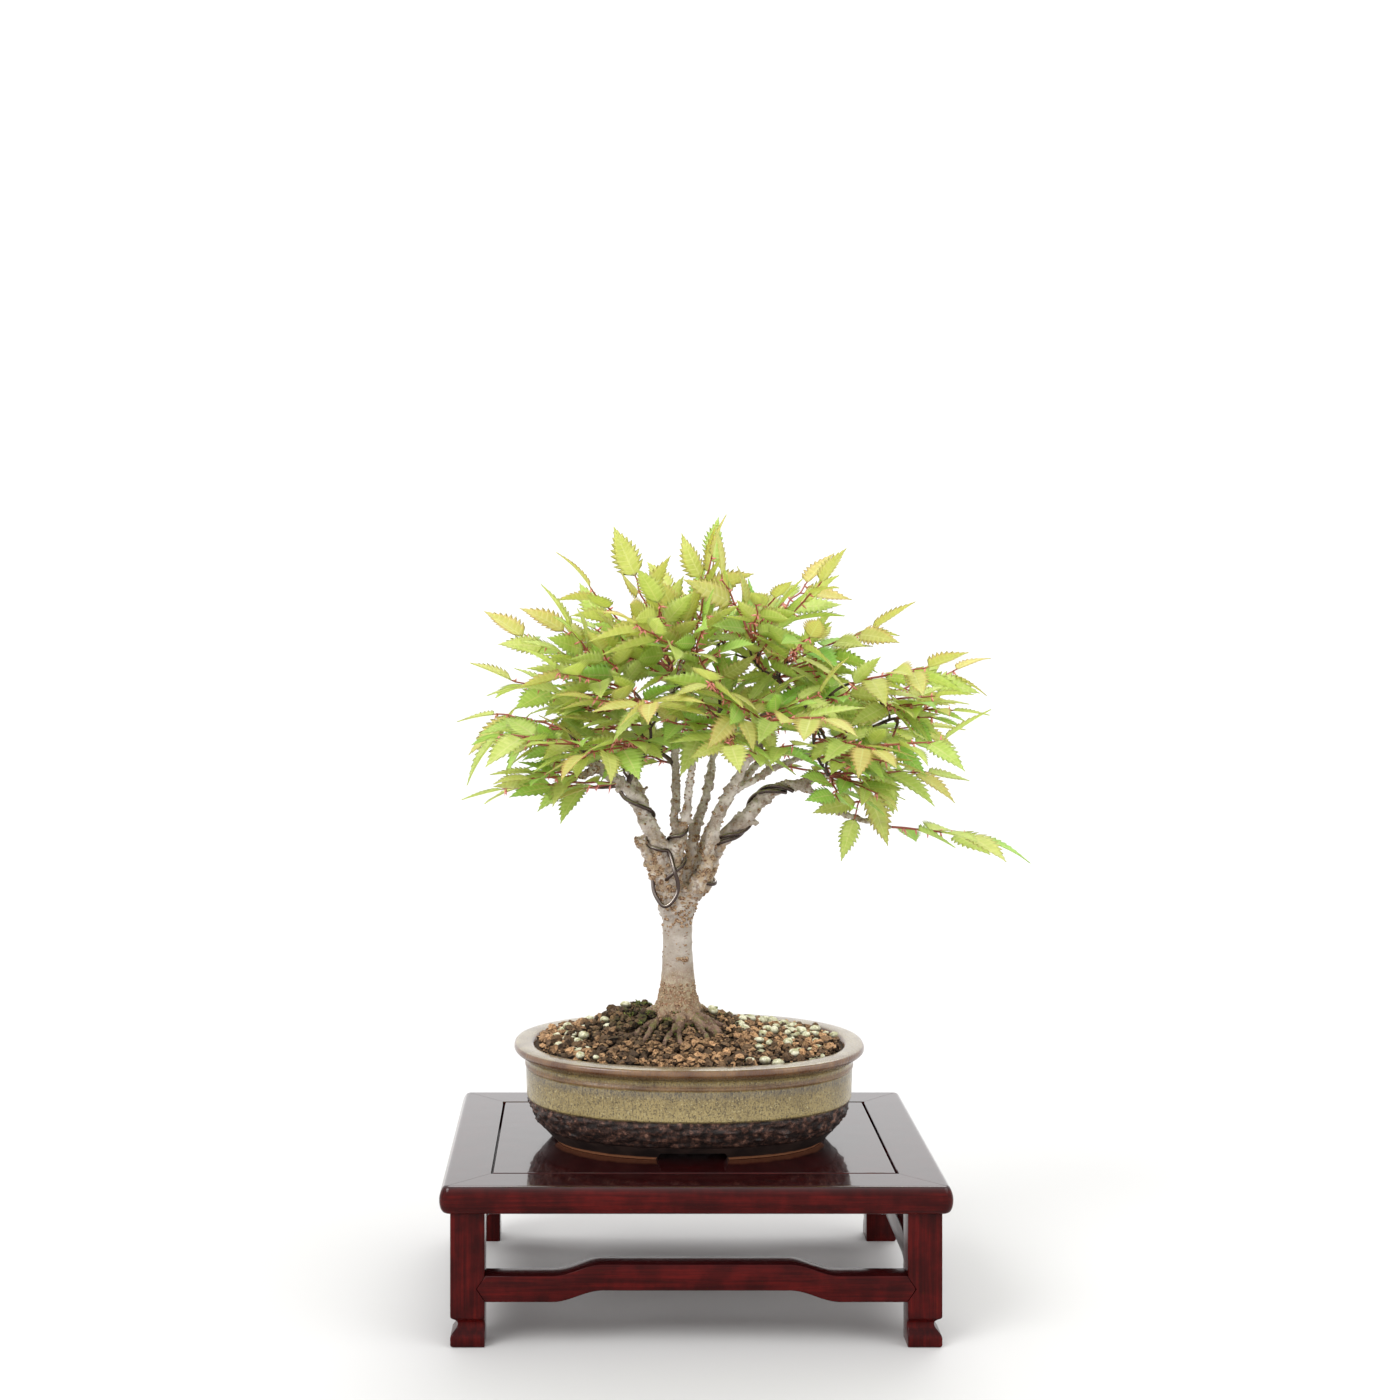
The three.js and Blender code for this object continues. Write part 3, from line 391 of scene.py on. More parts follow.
# Each window's place as seen from the tree, its width in degrees, and its power.
WINDOWS = {
    "window_left": ((-1.2, -1.1, 1.4), 30, 1.4),
    "window_right": ((1.5, -0.7, 1.2), 40, 0.55),
    "window_back": ((0.3, 1.2, 1.6), 40, 1.1),
}
for name, (place, wide_degrees, power) in WINDOWS.items():
    lamp = add_object(name, bpy.data.lights.new(name, "SUN"))
    lamp.data.angle, lamp.data.energy = math.radians(wide_degrees), power
    lamp.rotation_euler = (-Vector(place)).to_track_quat("-Z", "Y").to_euler()

# %% [markdown]
# ## Lacquer
#
# The stand is dark red-brown lacquer, and its top is rubbed to a mirror. There the colour hardly
# shows: what the eye sees is the room, softened by faint ripples and a little dust. A clear coat
# over a dark base makes the mirror, and it fades out below the top, where the red grain shows.

# %% The lacquer
COAT_FADE = (55, 66)


def make_lacquer(name, stretch):
    """Lacquer over wood whose grain runs along the axis that has the smallest stretch."""
    finish = Finish(name)
    grain = finish.noise(1.9, detail=4, rough=0.65, vector=finish.squeezed(*stretch))
    ripple = finish.noise(14, detail=1)
    dust = finish.step(finish.noise(0.6, detail=2), 0.66, 0.8)
    clouds = finish.step(finish.noise(11, detail=3), 0.35, 0.7)
    on_top = finish.step(finish.facing_up(), 0.25, 0.85)
    polished = on_top * finish.step(finish.height(), *COAT_FADE)
    colour = finish.paint(
        finish.mix(clouds, (0.026, 0.0025, 0.0025), (0.048, 0.0035, 0.0035)),
        (finish.step(grain, 0.35, 0.75) * (0.4 + clouds * 0.6), (0.1, 0.006, 0.005)),
        (on_top * 0.75, (0.014, 0.0025, 0.003)),
    )
    finish.end_with_surface(
        {
            "Base Color": colour,
            "Roughness": 0.13 + ripple * 0.05 + dust * 0.12,
            "Specular IOR Level": 0.1,
            "Coat Weight": polished,
            "Coat Roughness": 0.035,
            "Normal": finish.bump(ripple * 0.8 + grain * 0.05, 0.1),
        }
    )
    return finish


lacquer_along_x = make_lacquer("stand_lacquer_along_x", (0.04, 1, 1))
lacquer_along_y = make_lacquer("stand_lacquer_along_y", (1, 0.04, 1))
lacquer_upright = make_lacquer("stand_lacquer_upright", (1, 1, 0.04))
print("lacquers: 3")

# %% [markdown]
# ## The stand's panel
#
# The CAD panel already has the right form, but every real edge is slightly round, and a round
# edge is what catches the light. A Weld and a Bevel modifier leave the CAD mesh as it is and
# round its edges by half a millimetre.


# %% Rounded edges on the panel
def round_edges(node, width, finish, steps=3):
    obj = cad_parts[node]
    obj.data.materials.clear()
    obj.data.materials.append(finish.material)
    obj.data.polygons.foreach_set("use_smooth", [False] * len(obj.data.polygons))
    weld = obj.modifiers.new("weld", "WELD")
    weld.merge_threshold = 0.01 * MM
    bevel = obj.modifiers.new("round_edges", "BEVEL")
    bevel.width, bevel.segments = width * MM, steps
    bevel.limit_method, bevel.angle_limit = "ANGLE", math.radians(35)
    print(f"{node}: edges rounded by {width} mm")


round_edges("stand_panel", 0.5, lacquer_along_x)

# %% [markdown]
# ## The stand's rails
#
# Each rail of the top has a full rounded edge that runs round the corners without a break, and
# meets its neighbours in a mitre. It is one profile swept along a rectangle with round corners:
# the profile is a list of distances in from the edge and heights, and each rail is the part of
# the sweep between two mitres. `panel` is how far the shelf under the panel lies below the top.

# %% Rails with a rounded edge
STAND = dict(
    height=73.25,
    half_length=115.75,
    half_depth=85.75,
    corner=5.0,
    rail_height=12.4,
    rail_width=22.25,
    ledge=4.75,
    edge_inset=3.75,
    bead_inset=3.2,
    bead_drop=1.2,
    panel=7.25,
)
MITRE_GAP = 0.12
BEAD_STEPS = 28
CORNER_STEPS = 12
EASED = 0.3


def rail_profile():
    s = STAND
    rows = [(s["rail_width"] - EASED, s["height"]), (s["edge_inset"] + 1.2, s["height"])]
    for i in range(BEAD_STEPS + 1):
        angle = math.pi * i / BEAD_STEPS
        inset = s["bead_inset"] * (1 - math.sin(angle) ** 0.8)
        drop = s["bead_drop"] * (1 - math.cos(min(angle * 3, math.pi))) / 2
        drop += (s["rail_height"] - s["bead_drop"]) * (1 - math.cos(angle)) / 2
        rows.append((inset + (0.4 if i == 0 else 0), s["height"] - drop))
    under, shelf = s["height"] - s["rail_height"], s["height"] - s["panel"]
    inner = s["rail_width"] + s["ledge"]
    rows += [(inner, under), (inner, shelf), (s["rail_width"], shelf)]
    return rows + [(s["rail_width"], s["height"] - EASED)]


def rail(half_length, half_depth):
    """One rail on the near side, from mitre to mitre."""
    profile = rail_profile()
    turns = [math.pi / 4 * (1 - i / CORNER_STEPS) for i in range(CORNER_STEPS + 1)]
    stations = [(-1, turn) for turn in turns] + [(1, turn) for turn in turns[::-1]]
    corners = []
    for end, turn in stations:
        for inset, height in profile:
            bend = max(STAND["corner"] - inset, 0)
            back = max(STAND["corner"], inset)
            x = half_length - back + bend * math.sin(turn) - MITRE_GAP
            corners.append((end * x, -(half_depth - back + bend * math.cos(turn)), height))
    columns = len(profile)
    faces = strips(len(stations), columns, closed=True)
    faces += [tuple(range(columns)), tuple(range(len(corners) - columns, len(corners)))[::-1]]
    return np.array(corners), faces


def turned(corners, degrees):
    angle = math.radians(degrees)
    x, y = corners[:, 0], corners[:, 1]
    cos, sin = math.cos(angle), math.sin(angle)
    return np.column_stack([x * cos - y * sin, x * sin + y * cos, corners[:, 2]])


def sharp_edges(obj, degrees=40):
    """Smooth shading that stops at edges steeper than an angle."""
    obj.data.set_sharp_from_angle(angle=math.radians(degrees))


# Each side's turn in degrees from the front, its place among the axes and its lacquer.
SIDES = {
    "front": (0, 0, lacquer_along_x),
    "right": (90, 1, lacquer_along_y),
    "back": (180, 0, lacquer_along_x),
    "left": (270, 1, lacquer_along_y),
}
for side, (degrees, axis, lacquer) in SIDES.items():
    lengths = (STAND["half_length"], STAND["half_depth"])
    heap = Heap()
    corners, faces = rail(lengths[axis], lengths[1 - axis])
    heap.add(turned(corners, degrees), faces)
    sharp_edges(heap.piece(f"rail_{side}", "stand_lacquer", [lacquer], [f"stand_frame_{side}"]))

# %% [markdown]
# ## Cutting tools
#
# A Boolean modifier cuts one mesh with another. Once the result is read back into the piece,
# the modifier and the cutter can go: the mesh stays. Stretchers, legs and pot all use this.


# %% Cutting tools
def solid(name, corners, faces):
    """A helper object, in millimetres from the stand's middle."""
    mesh = bpy.data.meshes.new(name)
    mesh.from_pydata(((np.asarray(corners, float) + STAND_MIDDLE) * MM).tolist(), [], faces)
    shape = bmesh.new()
    shape.from_mesh(mesh)
    bmesh.ops.recalc_face_normals(shape, faces=shape.faces)
    shape.to_mesh(mesh)
    shape.free()
    return add_object(name, mesh)


def apply_modifiers(obj):
    bpy.context.view_layer.update()
    shown = obj.evaluated_get(bpy.context.evaluated_depsgraph_get())
    mesh = bpy.data.meshes.new_from_object(shown)
    obj.modifiers.clear()
    obj.data = mesh
    return obj


def cut(obj, cutters):
    for cutter in cutters:
        modifier = obj.modifiers.new("cut", "BOOLEAN")
        modifier.operation, modifier.solver, modifier.object = "DIFFERENCE", "EXACT", cutter
    apply_modifiers(obj)
    for cutter in cutters:
        bpy.data.objects.remove(cutter)
    print(f"{obj.name}: {len(obj.data.polygons)} faces after {len(cutters)} cuts")
    return obj


# %% [markdown]
# ## The stretchers
#
# The rails between the legs rise in a soft hump at the middle and end in a point that is let
# into the legs. Their outline is filled as one face, given its thickness, and its edges are
# rounded with bmesh's bevel. The hump of a short side is scaled to its length.

# %% Stretchers
LEG_INSETS = (4.95, 4.25)
LEG_WIDTH = 15.5
STRETCHER = dict(bottom=20.5, height=11.9, thickness=11, hump=5.2, flat=42, foot=65, point=4)
HUMP_STEPS = 20
FIT = 0.3
OUTER = [STAND["half_length"] - LEG_INSETS[0], STAND["half_depth"] - LEG_INSETS[1]]
INNER = [value - LEG_WIDTH for value in OUTER]


def stretcher(side, grow=0.0):
    """A stretcher on one side of the stand, as corners and faces, grown all round for a cutter."""
    degrees, axis, _ = SIDES[side]
    s, scale = STRETCHER, INNER[axis] / INNER[0]
    half_length = INNER[axis] + s["point"] - FIT
    low, high = s["bottom"] - grow, s["bottom"] + s["height"] + grow
    curve = []
    for i in range(HUMP_STEPS + 1):
        share = i / HUMP_STEPS
        x = scale * (s["flat"] + (s["foot"] - s["flat"]) * share)
        curve.append((x, s["hump"] * (1 + math.cos(math.pi * share)) / 2))
    end = half_length - s["point"]
    lower = [(x, low + z) for x, z in curve] + [(end, low)]
    upper = [(x, high + z) for x, z in curve] + [(end, high)]
    half = lower + [(half_length + grow * 1.4, (low + high) / 2)] + upper[::-1]
    outline = half + [(-x, z) for x, z in half[::-1]]
    front, back = -OUTER[1 - axis] - 4 * grow, -OUTER[1 - axis] + s["thickness"] + grow
    count = len(outline)
    corners = [(x, y, z) for y in (front, back) for x, z in outline]
    faces = strips(2, count, closed=True)
    faces += [tuple(range(count))[::-1], tuple(range(count, 2 * count))]
    return turned(np.array(corners), degrees), faces


def rounded(corners, faces, width, steps=3, steep=60):
    """The same shape with its sharp edges rounded."""
    helper = solid("helper", corners, faces)
    shape = bmesh.new()
    shape.from_mesh(helper.data)
    bpy.data.objects.remove(helper)
    rims = [edge for edge in shape.edges if edge.calc_face_angle(0) > math.radians(steep)]
    bmesh.ops.bevel(shape, geom=rims, offset=width * MM, segments=steps, affect="EDGES", profile=0.5)
    shape.verts.index_update()
    corners = np.array([v.co for v in shape.verts]) / MM - STAND_MIDDLE
    faces = [[v.index for v in f.verts] for f in shape.faces]
    shape.free()
    return corners, faces


for side, (_, _, lacquer) in SIDES.items():
    heap = Heap()
    heap.add(*rounded(*stretcher(side), 0.6))
    sharp_edges(heap.piece(f"stretcher_{side}", "stand_lacquer", [lacquer], [f"stand_stretcher_{side}"]))

# %% [markdown]
# ## The legs
#
# Each leg is a square post. Near the foot its two outer sides are hollowed in a soft S, which
# leaves a small pad on the floor. Seen from above, the post is a square with round corners at
# every height, so it can be built as a stack of such squares, each pulled in as far as the
# hollow goes there. The stretchers' sockets are cut afterwards.

# %% Legs
# Heights, and how far the outer sides are pulled in there.
HOLLOW = [
    (0, 0.9), (0.35, 0.35), (1, 0), (4.2, 0), (5.2, 0.25), (6.1, 0.9), (7, 1.75), (8, 2.6), (9, 3.1),
    (10, 3.2), (11, 2.8), (11.9, 1.9), (12.6, 0.95), (13.1, 0.35), (13.7, 0.05), (14.4, 0),
]
LEG_TOP = STAND["height"] - STAND["rail_height"] - 0.05
LEG_ROUND = 0.7
ROUND_STEPS = 5
SOCKET_GAP = 0.1


def leg(x_side, y_side):
    rows = HOLLOW + [(z, 0) for z in np.linspace(15, LEG_TOP - 0.4, 24)] + [(LEG_TOP, 0.3)]
    rings = []
    for z, inset in rows:
        low, high = vector(*INNER), vector(*OUTER) - inset
        middle, half = (low + high) / 2, (high - low) / 2 - LEG_ROUND
        ring = []
        for quarter in range(4):
            for step in range(ROUND_STEPS + 1):
                angle = math.pi / 2 * (quarter + step / ROUND_STEPS)
                sign = vector((1, -1, -1, 1)[quarter], (1, 1, -1, -1)[quarter])
                corner = middle + sign * half + LEG_ROUND * vector(math.cos(angle), math.sin(angle))
                ring.append((*corner, z))
        rings += ring
    corners = np.array(rings) * (x_side, y_side, 1)
    return corners, closed_rings(len(rows), 4 * (ROUND_STEPS + 1))


for y_side, end in ((-1, "front"), (1, "back")):
    for x_side, hand in ((-1, "left"), (1, "right")):
        corners, faces = leg(x_side, y_side)
        if x_side * y_side < 0:
            faces = [face[::-1] for face in faces]
        heap = Heap()
        heap.add(corners, faces)
        name = f"leg_{end}_{hand}"
        made = heap.piece(name, "stand_lacquer", [lacquer_upright], [f"stand_{name}"])
        cut(made, [solid("cutter", *stretcher(side, SOCKET_GAP)) for side in (end, hand)])
        sharp_edges(made)

# %% [markdown]
# ## The pot
#
# The pot was pressed oval, dipped in glaze down to a line, and fired. Its form is a profile
# turned round the middle and pressed into an oval that is a little squarer than an ellipse. The
# profile is drawn with few points and smoothed. A rough band below the glaze is real relief:
# noise of two sizes pushes its corners in and out, for lumps and for the crumbs on them.

# %% The pot's oval and profile
POT_BASE = STAND["height"] + 0.05
NARROWER = 22.5
ROUNDNESS = 2.25
POT_SIDES = 288
BAND_LOW, BAND_TOP = 6, 20.8
# Half-lengths and heights above the pot's foot.
UNDERSIDE = [(2, 4.2), (54, 4.2), (56, 4.0), (56.6, 2.5), (57, 0.1), (57.4, 0)]
OUTSIDE = [
    (61, 0), (64.6, 0), (65.4, 0.6), (67, 2), (68.6, 3.8), (70.7, 6.1), (72.7, 8.4), (74.4, 10.6),
    (75.8, 12.8), (76.9, 15), (77.6, 17), (78, 18.8), (78.1, 20.4), (78.8, 21.3), (79, 22.4), (79.1, 26),
    (79.3, 30), (79.4, 34), (79.3, 35.2), (79.8, 36.2), (79.8, 37), (79.3, 37.8), (79.4, 39.4),
    (80.6, 41), (83.2, 42.4), (84.8, 43.8), (85.1, 45.2), (84.4, 46.4), (82.4, 46.8),
]
INSIDE = [(78, 46.8), (76.2, 46.4), (75.2, 45.2), (74.3, 43), (70, 30), (60, 12), (50, 8.5), (2, 8.5)]


def oval(half_length, angle):
    """The oval's points at angles: a little squarer than an ellipse."""
    half_depth = np.maximum(half_length - NARROWER, half_length / 2)
    power = 2 / ROUNDNESS
    cos, sin = np.cos(angle), np.sin(angle)
    x = half_length * np.sign(cos) * np.abs(cos) ** power
    y = half_depth * np.sign(sin) * np.abs(sin) ** power
    return x, y


def smoothed(rows, steps):
    """A flowing line through rows, with more rows between them."""
    rows = np.array(rows, float)
    padded = np.vstack([2 * rows[0] - rows[1], rows, 2 * rows[-1] - rows[-2]])
    out = []
    for i in range(len(rows) - 1):
        before, here, there, after = padded[i : i + 4]
        leaving, arriving = 0.5 * (there - before), 0.5 * (after - here)
        for w in np.arange(steps) / steps:
            row = (2 * w**3 - 3 * w**2 + 1) * here + (w**3 - 2 * w**2 + w) * leaving
            out.append(row + (-2 * w**3 + 3 * w**2) * there + (w**3 - w**2) * arriving)
    return np.array(out + [rows[-1]])


def oval_rings(profile, sides):
    """Rings of corners of an oval turned from rows of half-lengths and heights."""
    angles = 2 * np.pi * np.arange(sides) / sides
    rings = [np.column_stack([*oval(r, angles), np.full(sides, z)]) for r, z in profile]
    return np.vstack(rings)


def rough(points, size, seed=0):
    """Cloudy numbers from about -1 to 1 at points in millimetres."""
    shift = Vector((seed * 17.3, seed * 5.1, seed * 9.7))
    return np.array([noise.fractal(Vector(p) / size + shift, 0.7, 2.0, 3) for p in points])


parts = [smoothed(UNDERSIDE, 2), smoothed(OUTSIDE, 3), smoothed(INSIDE, 3)]
profile = np.vstack(parts)
corners = oval_rings(profile, POT_SIDES)
is_outer = np.zeros(len(profile), bool)
is_outer[len(parts[0]) : len(parts[0]) + len(parts[1])] = True
is_outer = np.repeat(is_outer, POT_SIDES)
heights = corners[:, 2]
outward = corners * (1, 1, 0)
outward /= np.linalg.norm(outward, axis=1)[:, None]
band = np.clip((heights - BAND_LOW) / 3, 0, 1) * np.clip((BAND_TOP - heights) / 1.5, 0, 1) * is_outer
lumps = np.clip(rough(corners, 3.6) - 0.1, -0.3, 1) * 1.4 + np.clip(rough(corners, 1.3, 7), -1, 1) * 0.55
relief = band * lumps + 0.1 * is_outer * rough(corners, 22, 2)
pot_corners = corners + outward * relief[:, None] + vector(0, 0, POT_BASE)
print("pot rings:", len(profile), "of", POT_SIDES)

# %% [markdown]
# ## Glaze
#
# The glaze is a greenish khaki full of fine specks, and it thins to brown on the lip and on the
# bead below it. Ash has run down blue-grey under the bead. The cove under the lip is painted dark
# as shade, and the lip's upward face is painted paler as light. Below the glaze the clay is bare: a
# rough dark band, with painted shade in its hollows and painted highlights on its lumps, a smooth
# dark foot, and an orange ring at the very bottom. The height above the pot's foot picks between
# them, shaken a little by noise so that no line is ruled.

# %% The pot's finish
GLAZE_EDGE, FOOT_EDGE = 20.6, 7.5
ORANGE_RING = (1.1, 2.0)
ASH_RUNS = (30.5, 34.5), (34.8, 35.6)
BEAD = (35.2, 36.2), (37.4, 39)
# Heights of the band under the lip's overhang that is painted dark as shade.
UNDER_LIP_SHADE = (39.8, 41), (42.2, 43.4)
LIP = (40.6, 42.6)
DARK_BROWN = (0.05, 0.024, 0.014)

glaze = Finish("pot_glaze")
wander = glaze.noise(8, detail=3) - 0.5
level = glaze.height() - POT_BASE + wander * 1.1
runs = glaze.noise(0.75, detail=4, rough=0.7, vector=glaze.squeezed(1, 1, 0.3))
runs = glaze.step(runs, 0.47, 0.62)
specks = glaze.step(glaze.noise(0.8, detail=3, rough=0.6), 0.54, 0.62)
pale_dots = glaze.step(glaze.noise(1.1, detail=3, rough=0.7), 0.56, 0.66)
clouds = glaze.step(glaze.noise(13, detail=4), 0.35, 0.65)
khaki = glaze.paint(
    glaze.mix(clouds, (0.21, 0.155, 0.062), (0.3, 0.225, 0.09)),
    (glaze.step(level, 35, 20) * 0.55, (0.42, 0.33, 0.135)),
    (runs * 0.6, (0.1, 0.07, 0.032)),
    (specks * 0.75, (0.045, 0.03, 0.018)),
    (pale_dots * 0.5, (0.56, 0.48, 0.25)),
)
brown = glaze.mix(clouds, (0.11, 0.045, 0.018), (0.21, 0.11, 0.048))
brown = glaze.mix(runs * 0.5, brown, DARK_BROWN)
ash = glaze.mix(runs, (0.13, 0.12, 0.11), (0.055, 0.05, 0.052))
# Painted light: the lip's upward face is painted a paler grey khaki than the brown lip.
lit_lip_top = glaze.mix(clouds, (0.19, 0.135, 0.07), (0.3, 0.24, 0.14))
lit_lip_top = glaze.mix(runs * 0.4, lit_lip_top, (0.1, 0.06, 0.035))
is_glazed = glaze.step(level, GLAZE_EDGE - 0.2, GLAZE_EDGE + 0.3)
thick_edge = is_glazed * (1 - glaze.step(level, GLAZE_EDGE + 0.3, GLAZE_EDGE + 1.2))
on_lip = glaze.step(level, *LIP)
glazed = glaze.paint(
    khaki,
    (glaze.band(level, *ASH_RUNS) * (0.45 + runs * 0.55) * 0.75, ash),
    (glaze.band(level, *BEAD) * 0.8, brown),
    (on_lip, brown),
    # Painted shade under the lip's overhang.
    (glaze.band(level, *UNDER_LIP_SHADE) * 0.65, DARK_BROWN),
    (glaze.step(glaze.facing_up(), 0.8, 0.97) * on_lip, lit_lip_top),
    (thick_edge * 0.7, (0.06, 0.035, 0.025)),
)
clay_grain = glaze.noise(3.2, detail=5, rough=0.7)
# Painted shade and light on the rough band: the hollows of its relief are painted nearly black and the tops
# of its lumps pale brown, as highlights.
lump_shade_and_light = glaze.step(clay_grain, 0.42, 0.66)
rough_clay = glaze.mix(lump_shade_and_light, (0.012, 0.007, 0.006), (0.11, 0.052, 0.037))
rough_clay = glaze.mix(glaze.step(clay_grain, 0.57, 0.68) * 0.75, rough_clay, (0.3, 0.16, 0.11))
bare_clay = glaze.mix(glaze.noise(0.9), (0.48, 0.17, 0.075), (0.68, 0.32, 0.17))
is_rough = glaze.step(level, FOOT_EDGE - 0.5, FOOT_EDGE + 0.7)
clay = glaze.paint(
    glaze.mix(clouds, (0.018, 0.013, 0.012), (0.05, 0.032, 0.026)),
    (is_rough, rough_clay),
    (1 - glaze.step(level, *ORANGE_RING), bare_clay),
)
smooth_relief = is_glazed * (0.45 + specks * 0.05 + pale_dots * 0.05)
glaze.end_with_surface(
    {
        "Base Color": glaze.mix(is_glazed, clay, glazed),
        "Roughness": 0.47 - is_glazed * 0.2 + runs * is_glazed * 0.12,
        "Specular IOR Level": 0.4,
        "Coat Weight": is_glazed * (0.35 + on_lip * 0.4),
        "Coat Roughness": 0.15,
        "Normal": glaze.bump(clay_grain * is_rough * (1 - is_glazed) + smooth_relief, 0.9),
    }
)

# %% [markdown]
# ## Feet and drain holes
#
# Gaps between the feet let water and air out below, and two holes drain the floor. They are cut
# with Boolean modifiers, which are then applied: the cutters go away and the mesh stays.

# %% Cuts
FOOT_GAP = dict(front=36, end=24, height=4, slant=3, reach=95)
DRAIN = dict(radius=6, offset=28, sides=40)


def gap_cutter(width, degrees):
    half, slant, high = width / 2, FOOT_GAP["slant"], FOOT_GAP["height"]
    outline = [(-half, -1), (half, -1), (half - slant, high), (slant - half, high)]
    both = (-FOOT_GAP["reach"], FOOT_GAP["reach"])
    ends = [(x, y, POT_BASE + z) for y in both for x, z in outline]
    faces = strips(2, 4, closed=True) + [(3, 2, 1, 0), (4, 5, 6, 7)]
    return solid("cutter", turned(np.array(ends), degrees), faces)


def drain_cutter(x):
    points = [(x, 0, POT_BASE + z) for z in (-1, 20)]
    return solid("cutter", *tube(points, [DRAIN["radius"]] * 2, DRAIN["sides"]))


heap = Heap()
heap.add(pot_corners, closed_rings(len(profile), POT_SIDES))
pot = heap.piece("glazed_pot", "pot_glaze", [glaze], ["pot"])
cut(pot, [gap_cutter(FOOT_GAP["front"], 0), gap_cutter(FOOT_GAP["end"], 90)])
cut(pot, [drain_cutter(-DRAIN["offset"]), drain_cutter(DRAIN["offset"])])
sharp_edges(pot, 50)

# %% The screens over the drain holes
plastic = Finish("screen_plastic")
scuffs = plastic.noise(0.8, detail=4)
plastic.end_with_surface(
    {
        "Base Color": plastic.mix(scuffs, (0.008, 0.008, 0.009), (0.03, 0.03, 0.032)),
        "Roughness": 0.5 + scuffs * 0.2,
        "Normal": plastic.bump(scuffs, 0.05),
    }
)
for name in ("drain_screen_left", "drain_screen_right"):
    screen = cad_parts[name]
    screen.data.materials.clear()
    screen.data.materials.append(plastic.material)
print("drain screens finished")

# %% [markdown]
# ## The lines of the tree
#
# The limbs, branches and shoots follow the same curves as the CAD model, worked out here again:
# a flowing line through measured rows for each limb, and a bent line from the wood to the foot
# of every shoot.

# %% Curves
FORK = vector(-5.5, 0, 188)
# Rows of a place from the fork and a radius.
TRUNK = [
    (0.3, 0, -74, 9), (0.3, 0, -62, 12.6), (0.3, 0, -52, 10.9), (0.2, 0, -45, 9), (0.2, 0, -34, 7.8),
    (0, 0, -22, 7.1), (0, 0, -9, 7.2), (0, 0, -3, 9), (0, 0, 3, 8.6), (0, 0, 8, 6),
]
LIMBS = {
    "left": [
        (-4, -2, -2, 4.6), (-7, -3, 17, 3.8), (-9, -4, 28, 4.1), (-15, -5, 39, 3.7), (-23, -7, 54, 3.1),
        (-38, -9, 66, 2.5), (-45, -10, 71, 2),
    ],
    "leftLow": [(-38, -9, 66, 2.1), (-48, -13, 61.5, 1.6)],
    "stub": [
        (-5, -2, 2, 3), (-9, -4, 10, 2.4), (-12.5, -5, 17, 2.1), (-16.5, -6, 26, 2.1), (-18, -6, 29, 2.7),
        (-18.6, -6, 32, 1.6),
    ],
    "centre": [
        (-1, -3, 0, 4.6), (-1.5, -4, 15, 3.5), (-0.7, -4, 26, 3.9), (1, -3, 33, 3.5), (-1.5, -2, 39, 2.2),
        (-0.7, 0, 48, 2), (-0.7, 4, 62, 1.9), (-1.2, 8, 83, 1.7), (-2, 12, 101, 1.5), (3, 14, 118, 1.2),
    ],
    "centreFront": [(1, -3, 33, 2.6), (4, -6, 42, 2), (5, -12, 57, 1.7), (8, -24, 76, 1.4)],
    "centreRight": [
        (1.5, 2, 4, 3.4), (4, 4, 13, 2.9), (7.5, 6, 26, 2.5), (9, 8, 35, 2.5), (12.7, 10, 44, 2.2),
        (16.7, 14, 59, 2), (20, 22, 80, 1.7), (24, 28, 100, 1.4),
    ],
    "right": [
        (5, -2, 0, 4.2), (9, -4, 7, 3.7), (13.3, -5, 16, 2.9), (15, -6, 24, 2.5), (16.9, -7, 34, 3.1),
        (20.5, -9, 45, 2.7), (25, -11, 54, 2.5), (30, -15, 64, 2.1), (38, -22, 80, 1.7),
        (46, -28, 94, 1.4),
    ],
    "rightInner": [
        (25, -11, 54, 2), (34, -10, 58.5, 1.7), (44, -6, 64, 1.6), (58, 0, 69, 1.4), (68, 3, 71, 1.3),
    ],
    "farRight": [
        (8, 3, 2, 3.4), (14, 5, 7, 2.8), (17.5, 5, 16, 2.3), (20, 4, 25, 2.9), (25.5, 3, 33, 3.6),
        (32.3, 2, 39.5, 3.5), (38.5, 2, 46, 3.3), (46, 2, 52.5, 2.9), (54, 2, 56, 2.4), (62, 2, 55, 1.9),
        (69, 1, 50.5, 1.7), (76, 0, 45, 1.6), (89, -2, 40, 1.4), (98, -3, 38.8, 1.2),
    ],
    "farRightUpper": [(54, 2, 56, 1.9), (70, 4, 59.5, 1.6), (76, 4.5, 60.5, 1.5)],
    "backLeft": [
        (-4, 4, 0, 3.8), (-8, 10, 14, 3.2), (-12, 16, 32, 2.7), (-18, 24, 50, 2.2), (-27, 35, 69, 1.7),
    ],
    "backRight": [
        (4, 5, 0, 3.8), (9, 12, 14, 3.2), (17, 21, 31, 2.7), (28, 31, 48, 2.2), (42, 41, 63, 1.7),
    ],
}


class Path:
    """A curve with a way along it and a radius, by the share of its rows that has gone by."""

    def along(self, t):
        low, high = max(t - 0.0001, 0), min(t + 0.0001, 1)
        return unit(self.point(high) - self.point(low))

    def sampled(self, steps, first=0.0, last=1.0):
        shares = np.linspace(first, last, steps + 1)
        return np.array([self.point(t) for t in shares]), np.array([self.radius(t) for t in shares])


